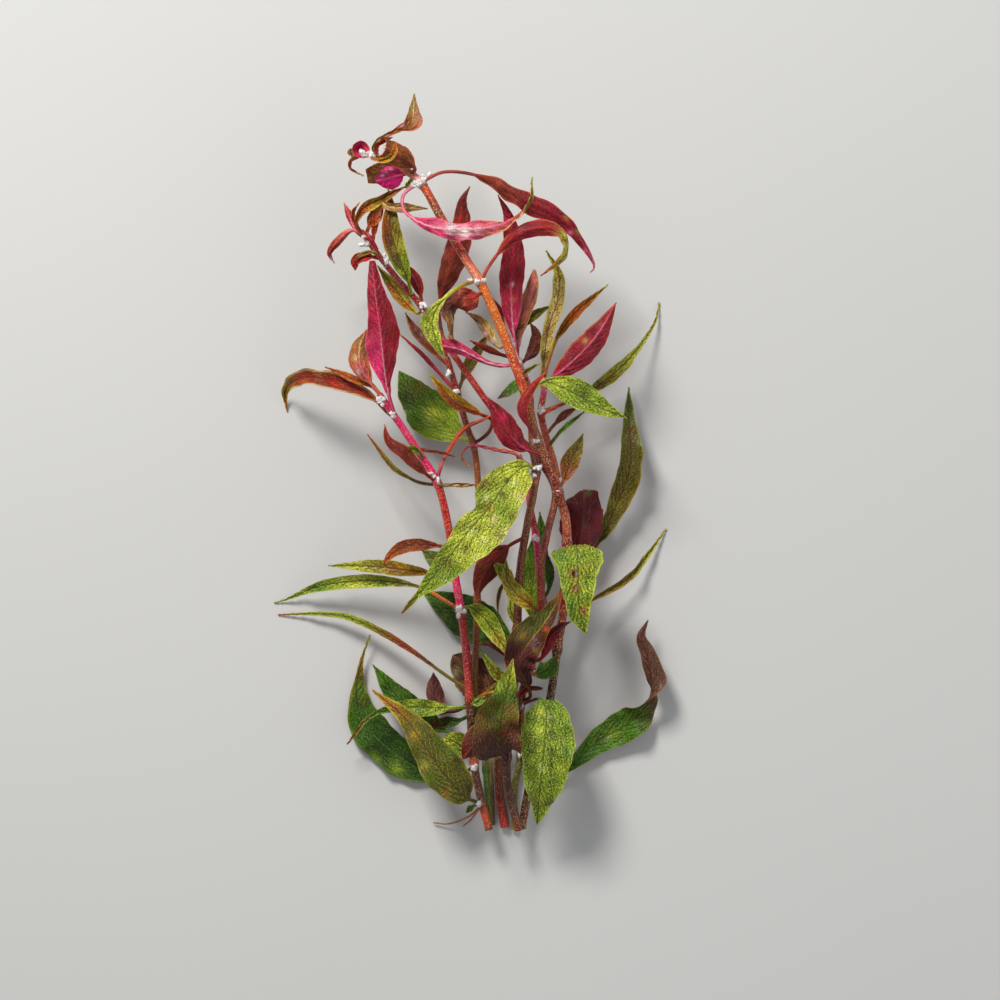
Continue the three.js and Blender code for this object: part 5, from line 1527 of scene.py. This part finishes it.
def leaf_finish(name, grain, streaks, veins, mottle, gloss, dark, bright, midrib=None):
    """The skin of a leaf: tint, streaks, mottling, grain with painted glints, side veins, midrib and
    margin.
    """
    finish = Finish(name, Coat_Weight=gloss, Coat_Roughness=0.25, Subsurface_Weight=0.04,
                    Subsurface_Radius=LEAF_LIGHT_DEPTHS, Subsurface_Scale=1.0,
                    Specular_IOR_Level=0.3)
    along, side = finish.kept("along_mm"), finish.kept("side_mm")
    margin, bladed, below = finish.kept("margin_mm"), finish.kept("bladed"), finish.kept("below")
    tint, rib, rim = (finish.kept(part, "Color") for part in ("tint", "rib", "rim"))
    aside = abs(side)
    where = finish.spot(along, side, below * FACE_SHIFT)
    body = finish.node("TexCoord", {}, {}, "Object")

    # Side veins leave the midrib by turns, lean to the tip and wander a little
    wander = finish.noise(where, VEIN_WANDER) - 0.5
    phase = vein_phase(along, aside) + side.above(0.0) * 0.5 + wander * 0.9
    off_vein = 0.5 - abs(phase.part() - 0.5)
    vein = off_vein.fade(0.09, 0.02) * margin.fade(0.4, 1.6) * bladed
    cell = finish.node("TexVoronoi", {"feature": "DISTANCE_TO_EDGE"},
                       {"Vector": where, "Scale": VEIN_NET})
    net = cell.fade(0.14, 0.02) * bladed

    # Colour: broad and middling patches and streaks along the blade
    broad = finish.noise(body, LEAF_CLOUDS)
    middling = finish.noise(where, LEAF_MOTTLE, 3.0, 0.6)
    lengthwise, crosswise = LEAF_FLOW
    streaked = finish.spot(along * lengthwise, side * crosswise, below * FACE_SHIFT)
    flow = finish.noise(streaked, 1.0, 3.0, 0.3)
    light = 1 + (broad - 0.5) * (1.1 * mottle) + (middling - 0.5) * (1.3 * mottle)
    light = light + (flow - 0.5) * (2.2 * streaks)
    colour = finish.brighten(tint, light)
    colour = finish.mix(flow.fade(0.5, 0.36) * (streaks * 0.5), colour, dark)

    # Grain: dark and bright specks, which cluster. The bright ones are partly pale spots of the leaf
    # and partly painted glints
    fine = finish.noise(where, LEAF_GRAIN, 3.0)
    coarse = finish.noise(where, LEAF_CLUSTERS, 2.0, 0.4)
    rough = grain * (0.35 + 0.65 * bladed) * (1 - 0.35 * below)
    cluster = 0.4 + 0.6 * coarse.fade(0.42, 0.58)
    dark_specks = fine.fade(0.49, 0.39) * (1.4 - cluster) * rough
    pale_specks_and_glints = fine.fade(0.52, 0.62) * cluster * rough
    lit = finish.mix(0.5, finish.brighten(tint, 1.7), bright)
    colour = finish.mix(dark_specks * 0.9, colour, dark)
    colour = finish.mix(pale_specks_and_glints * 0.95, colour, lit)

    # Veins, midrib and margin
    colour = finish.mix(vein * veins, colour, rib)
    colour = finish.mix(net * 0.10, colour, rib)
    spine = rib if midrib is None else midrib
    colour = finish.mix(aside.fade(0.36, 0.10) * 0.75 * (0.5 + 0.5 * bladed), colour, spine)
    colour = finish.mix(margin.fade(0.30, 0.06) * bladed * 0.7, colour, rim)
    finish.feed("Base Color", colour)
    finish.feed("Roughness", 0.42 + (middling - 0.5) * 0.3 + (fine - 0.5) * 0.25)

    # Veins are sunk in the upper face and stand out below, and the skin swells between them
    stand = below * 2 - 1
    height = vein * stand * 0.5 + net * stand * 0.12 + (fine - 0.5) * 0.7 + (middling - 0.5) * 0.5
    finish.relief(height + (flow - 0.5) * 0.7, 0.7 * MM, 1.0)
    return finish.material


def stem_finish(name, dots, streaks):
    """The skin of a stem: streaks along it, pale dots and a pale pith at the cut."""
    finish = Finish(name, Coat_Weight=0.25, Coat_Roughness=0.25, Subsurface_Weight=0.08,
                    Subsurface_Radius=STEM_LIGHT_DEPTHS, Subsurface_Scale=1.0,
                    Specular_IOR_Level=0.45)
    along, around = finish.kept("along_mm"), finish.kept("around_mm")
    pith, tint = finish.kept("pith"), finish.kept("tint", "Color")
    body = finish.node("TexCoord", {}, {}, "Object")
    lengthwise, crosswise = STEM_STREAKS
    streak = finish.noise(finish.spot(along * lengthwise, around * crosswise), 1.0, 3.0)
    patch = finish.noise(body, STEM_PATCHES, 3.0)
    fine = finish.noise(body, STEM_GRAIN)
    light = 1 + (streak - 0.5) * (1.6 * streaks) + (patch - 0.5) * 0.9 + (fine - 0.5) * 0.7
    colour = finish.brighten(tint, light)
    grain = finish.node("TexVoronoi", {"feature": "F1"}, {"Vector": body, "Scale": STEM_DOTS})
    colour = finish.mix(fine.fade(0.47, 0.36) * 0.5, colour, finish.brighten(tint, 0.45))
    dot = grain.fade(0.46, 0.24) * patch.fade(0.32, 0.48) * dots
    colour = finish.mix(dot, colour, finish.mix(0.2, CREAM, tint))
    colour = finish.mix(pith * 0.8, colour, finish.mix(streak, CREAM, PALE_OLIVE))
    finish.feed("Base Color", colour)
    finish.feed("Roughness", 0.36 + (patch - 0.5) * 0.25 + dot * 0.2)
    finish.relief(streak * 0.8 + dot * 0.6 + patch * 0.6 + fine * 0.4, 0.45 * MM, 0.9)
    return finish.material


def wool_finish():
    """White woolly hairs, a little pink in places."""
    finish = Finish("white_wool", Subsurface_Weight=0.4, Subsurface_Radius=WOOL_LIGHT_DEPTHS,
                    Subsurface_Scale=1.0)
    body = finish.node("TexCoord", {}, {}, "Object")
    patch = finish.noise(body, WOOL_PATCHES, 3.0)
    finish.feed("Base Color", finish.mix(patch.fade(0.55, 0.75) * 0.4, WHITE, PALE_PINK))
    finish.feed("Roughness", 0.45 + patch * 0.25)
    finish.relief(finish.noise(body, WOOL_FIBRES, 3.0), 0.15 * MM, 0.7)
    return finish.material


def floor_finish():
    """A plain pale matt floor."""
    finish = Finish("pale_floor", Roughness=0.85)
    body = finish.node("TexCoord", {}, {}, "Object")
    patch = finish.noise(body, FLOOR_PATCHES)
    finish.feed("Base Color", finish.mix(patch, linear(0.80, 0.80, 0.79), linear(0.83, 0.83, 0.82)))
    return finish.material


LEAF_FINISHES = {
    "leaf_lime": dict(grain=1.0, streaks=0.5, veins=0.3, mottle=0.8, gloss=0.08,
                      dark=DARK_GREEN, bright=PALE_LIME, midrib=DARK_OLIVE),
    "leaf_green": dict(grain=0.8, streaks=0.5, veins=0.4, mottle=1.0, gloss=0.08,
                       dark=DARK_GREEN, bright=LIME),
    "leaf_olive": dict(grain=1.0, streaks=0.5, veins=0.9, mottle=0.9, gloss=0.08,
                       dark=BROWN, bright=PALE_OLIVE, midrib=BROWN),
    "leaf_crimson": dict(grain=0.5, streaks=0.6, veins=0.10, mottle=0.8, gloss=0.08,
                         dark=PLUM, bright=SALMON),
    "leaf_bronze": dict(grain=0.65, streaks=0.6, veins=0.4, mottle=0.8, gloss=0.10,
                        dark=MAROON, bright=GOLD),
    "leaf_maroon": dict(grain=0.6, streaks=0.6, veins=0.5, mottle=1.1, gloss=0.10,
                        dark=DUSK, bright=MAUVE),
}

# The slot of a leaf that has no solid of its own goes by the coat halfway along it
COATS_OF_SLOT = {
    "leaf_lime": ("lime", "lemon"),
    "leaf_green": ("green", "dark_green"),
    "leaf_olive": ("olive", "dark_olive", "pale_olive", "gold"),
    "leaf_bronze": ("bronze", "orange", "tan", "rolled"),
    "leaf_maroon": ("brick", "rust", "maroon", "brown", "mauve"),
    "leaf_crimson": ("scarlet", "crimson", "raspberry", "hot_pink", "white", "rolled_pink"),
}
STEM_FINISHES = {
    "stem_orange": dict(dots=0.9, streaks=0.7),
    "stem_crimson": dict(dots=0.35, streaks=0.8),
    "stem_brown": dict(dots=0.35, streaks=0.9),
    "stem_pink": dict(dots=0.45, streaks=0.5),
}

leaf_skins = {slot: leaf_finish(slot, **values) for slot, values in LEAF_FINISHES.items()}
stem_skins = {slot: stem_finish(slot, **values) for slot, values in STEM_FINISHES.items()}
white_wool = wool_finish()
slots = {part["node"]: part["material_slot"] for part in frame["record"]["subparts"]}
slot_of_coat = {coat: slot for slot, coats in COATS_OF_SLOT.items() for coat in coats}

for name, stem in STEMS.items():
    skin = stem_skins[stem["slot"]]
    shown = {part: stem[part] for part in ("route", "thickness", "colours", "nodes")}
    piece = tube(name + "_skin", material=skin, **shown)
    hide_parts(name)
for number, route in enumerate(ROOTS):
    piece = tube(f"root_{number + 1}", route, (0.8, 0.5), ((806, SALMON), (829, TAN)),
                 stem_skins["stem_brown"], sides=ROOT_SIDES, step=ROOT_STEP, cut=False)
    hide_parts("stem_g")
for stem, tufts in TUFTS.items():
    wool(stem + "_wool", tufts, white_wool, stem)

for name, leaf in LEAVES.items():
    piece = blade(name + "_skin", material=leaf_skins[slots[name]], **leaf)
    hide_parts(name)
for name, leaf in SMALL.items():
    slot = slot_of_coat[leaf["coat"][len(leaf["coat"]) // 2]]
    shown = {part: value for part, value in leaf.items() if part != "stem"}
    piece = blade(name, material=leaf_skins[slot], **shown)
    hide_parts(leaf["stem"])


def lay_floor():
    """The surface that the bunch lies on."""
    bpy.ops.mesh.primitive_plane_add(size=FLOOR_SIDE, location=(0, 0, 0))
    floor = bpy.context.object
    floor.name = "floor"
    floor.data.materials.append(floor_finish())


def look_down():
    """A camera straight above, whose frame is that of the photograph at the plant's middle height."""
    distance, plant_middle = 2.4, 0.025
    frame_width = PHOTO_SIDE * METRES_PER_PIXEL
    data = bpy.data.cameras.new("camera")
    data.lens = data.sensor_width * (distance - plant_middle) / frame_width
    camera = bpy.data.objects.new("camera", data)
    middle = PHOTO_SIDE / 2
    camera.location = (*place([(middle, middle, 0)])[0][:2], distance)
    bpy.context.scene.collection.objects.link(camera)
    bpy.context.scene.camera = camera


def light(name, where, size, power, colour):
    """A soft square lamp that faces the plant."""
    data = bpy.data.lights.new(name, "AREA")
    data.size = size
    data.energy = power
    data.color = colour
    lamp = bpy.data.objects.new(name, data)
    lamp.location = where
    lamp.rotation_euler = (-lamp.location).to_track_quat("-Z", "Y").to_euler()
    bpy.context.scene.collection.objects.link(lamp)


def light_studio():
    """A warm key lamp, a wide cool fill and a cool sky."""
    warm, cool = (1.0, 0.98, 0.95), (0.95, 0.97, 1.0)
    light("key", where=(-0.40, 0.80, 0.85), size=0.35, power=14.5, colour=warm)
    light("fill", where=(0.9, -0.2, 0.7), size=0.9, power=2.0, colour=cool)
    world = bpy.data.worlds.new("studio")
    world.use_nodes = True
    sky = world.node_tree.nodes["Background"]
    sky.inputs["Color"].default_value = (*cool, 1.0)
    sky.inputs["Strength"].default_value = 0.32
    bpy.context.scene.world = world
    bpy.context.scene.view_settings.view_transform = "Standard"


lay_floor()
look_down()
light_studio()
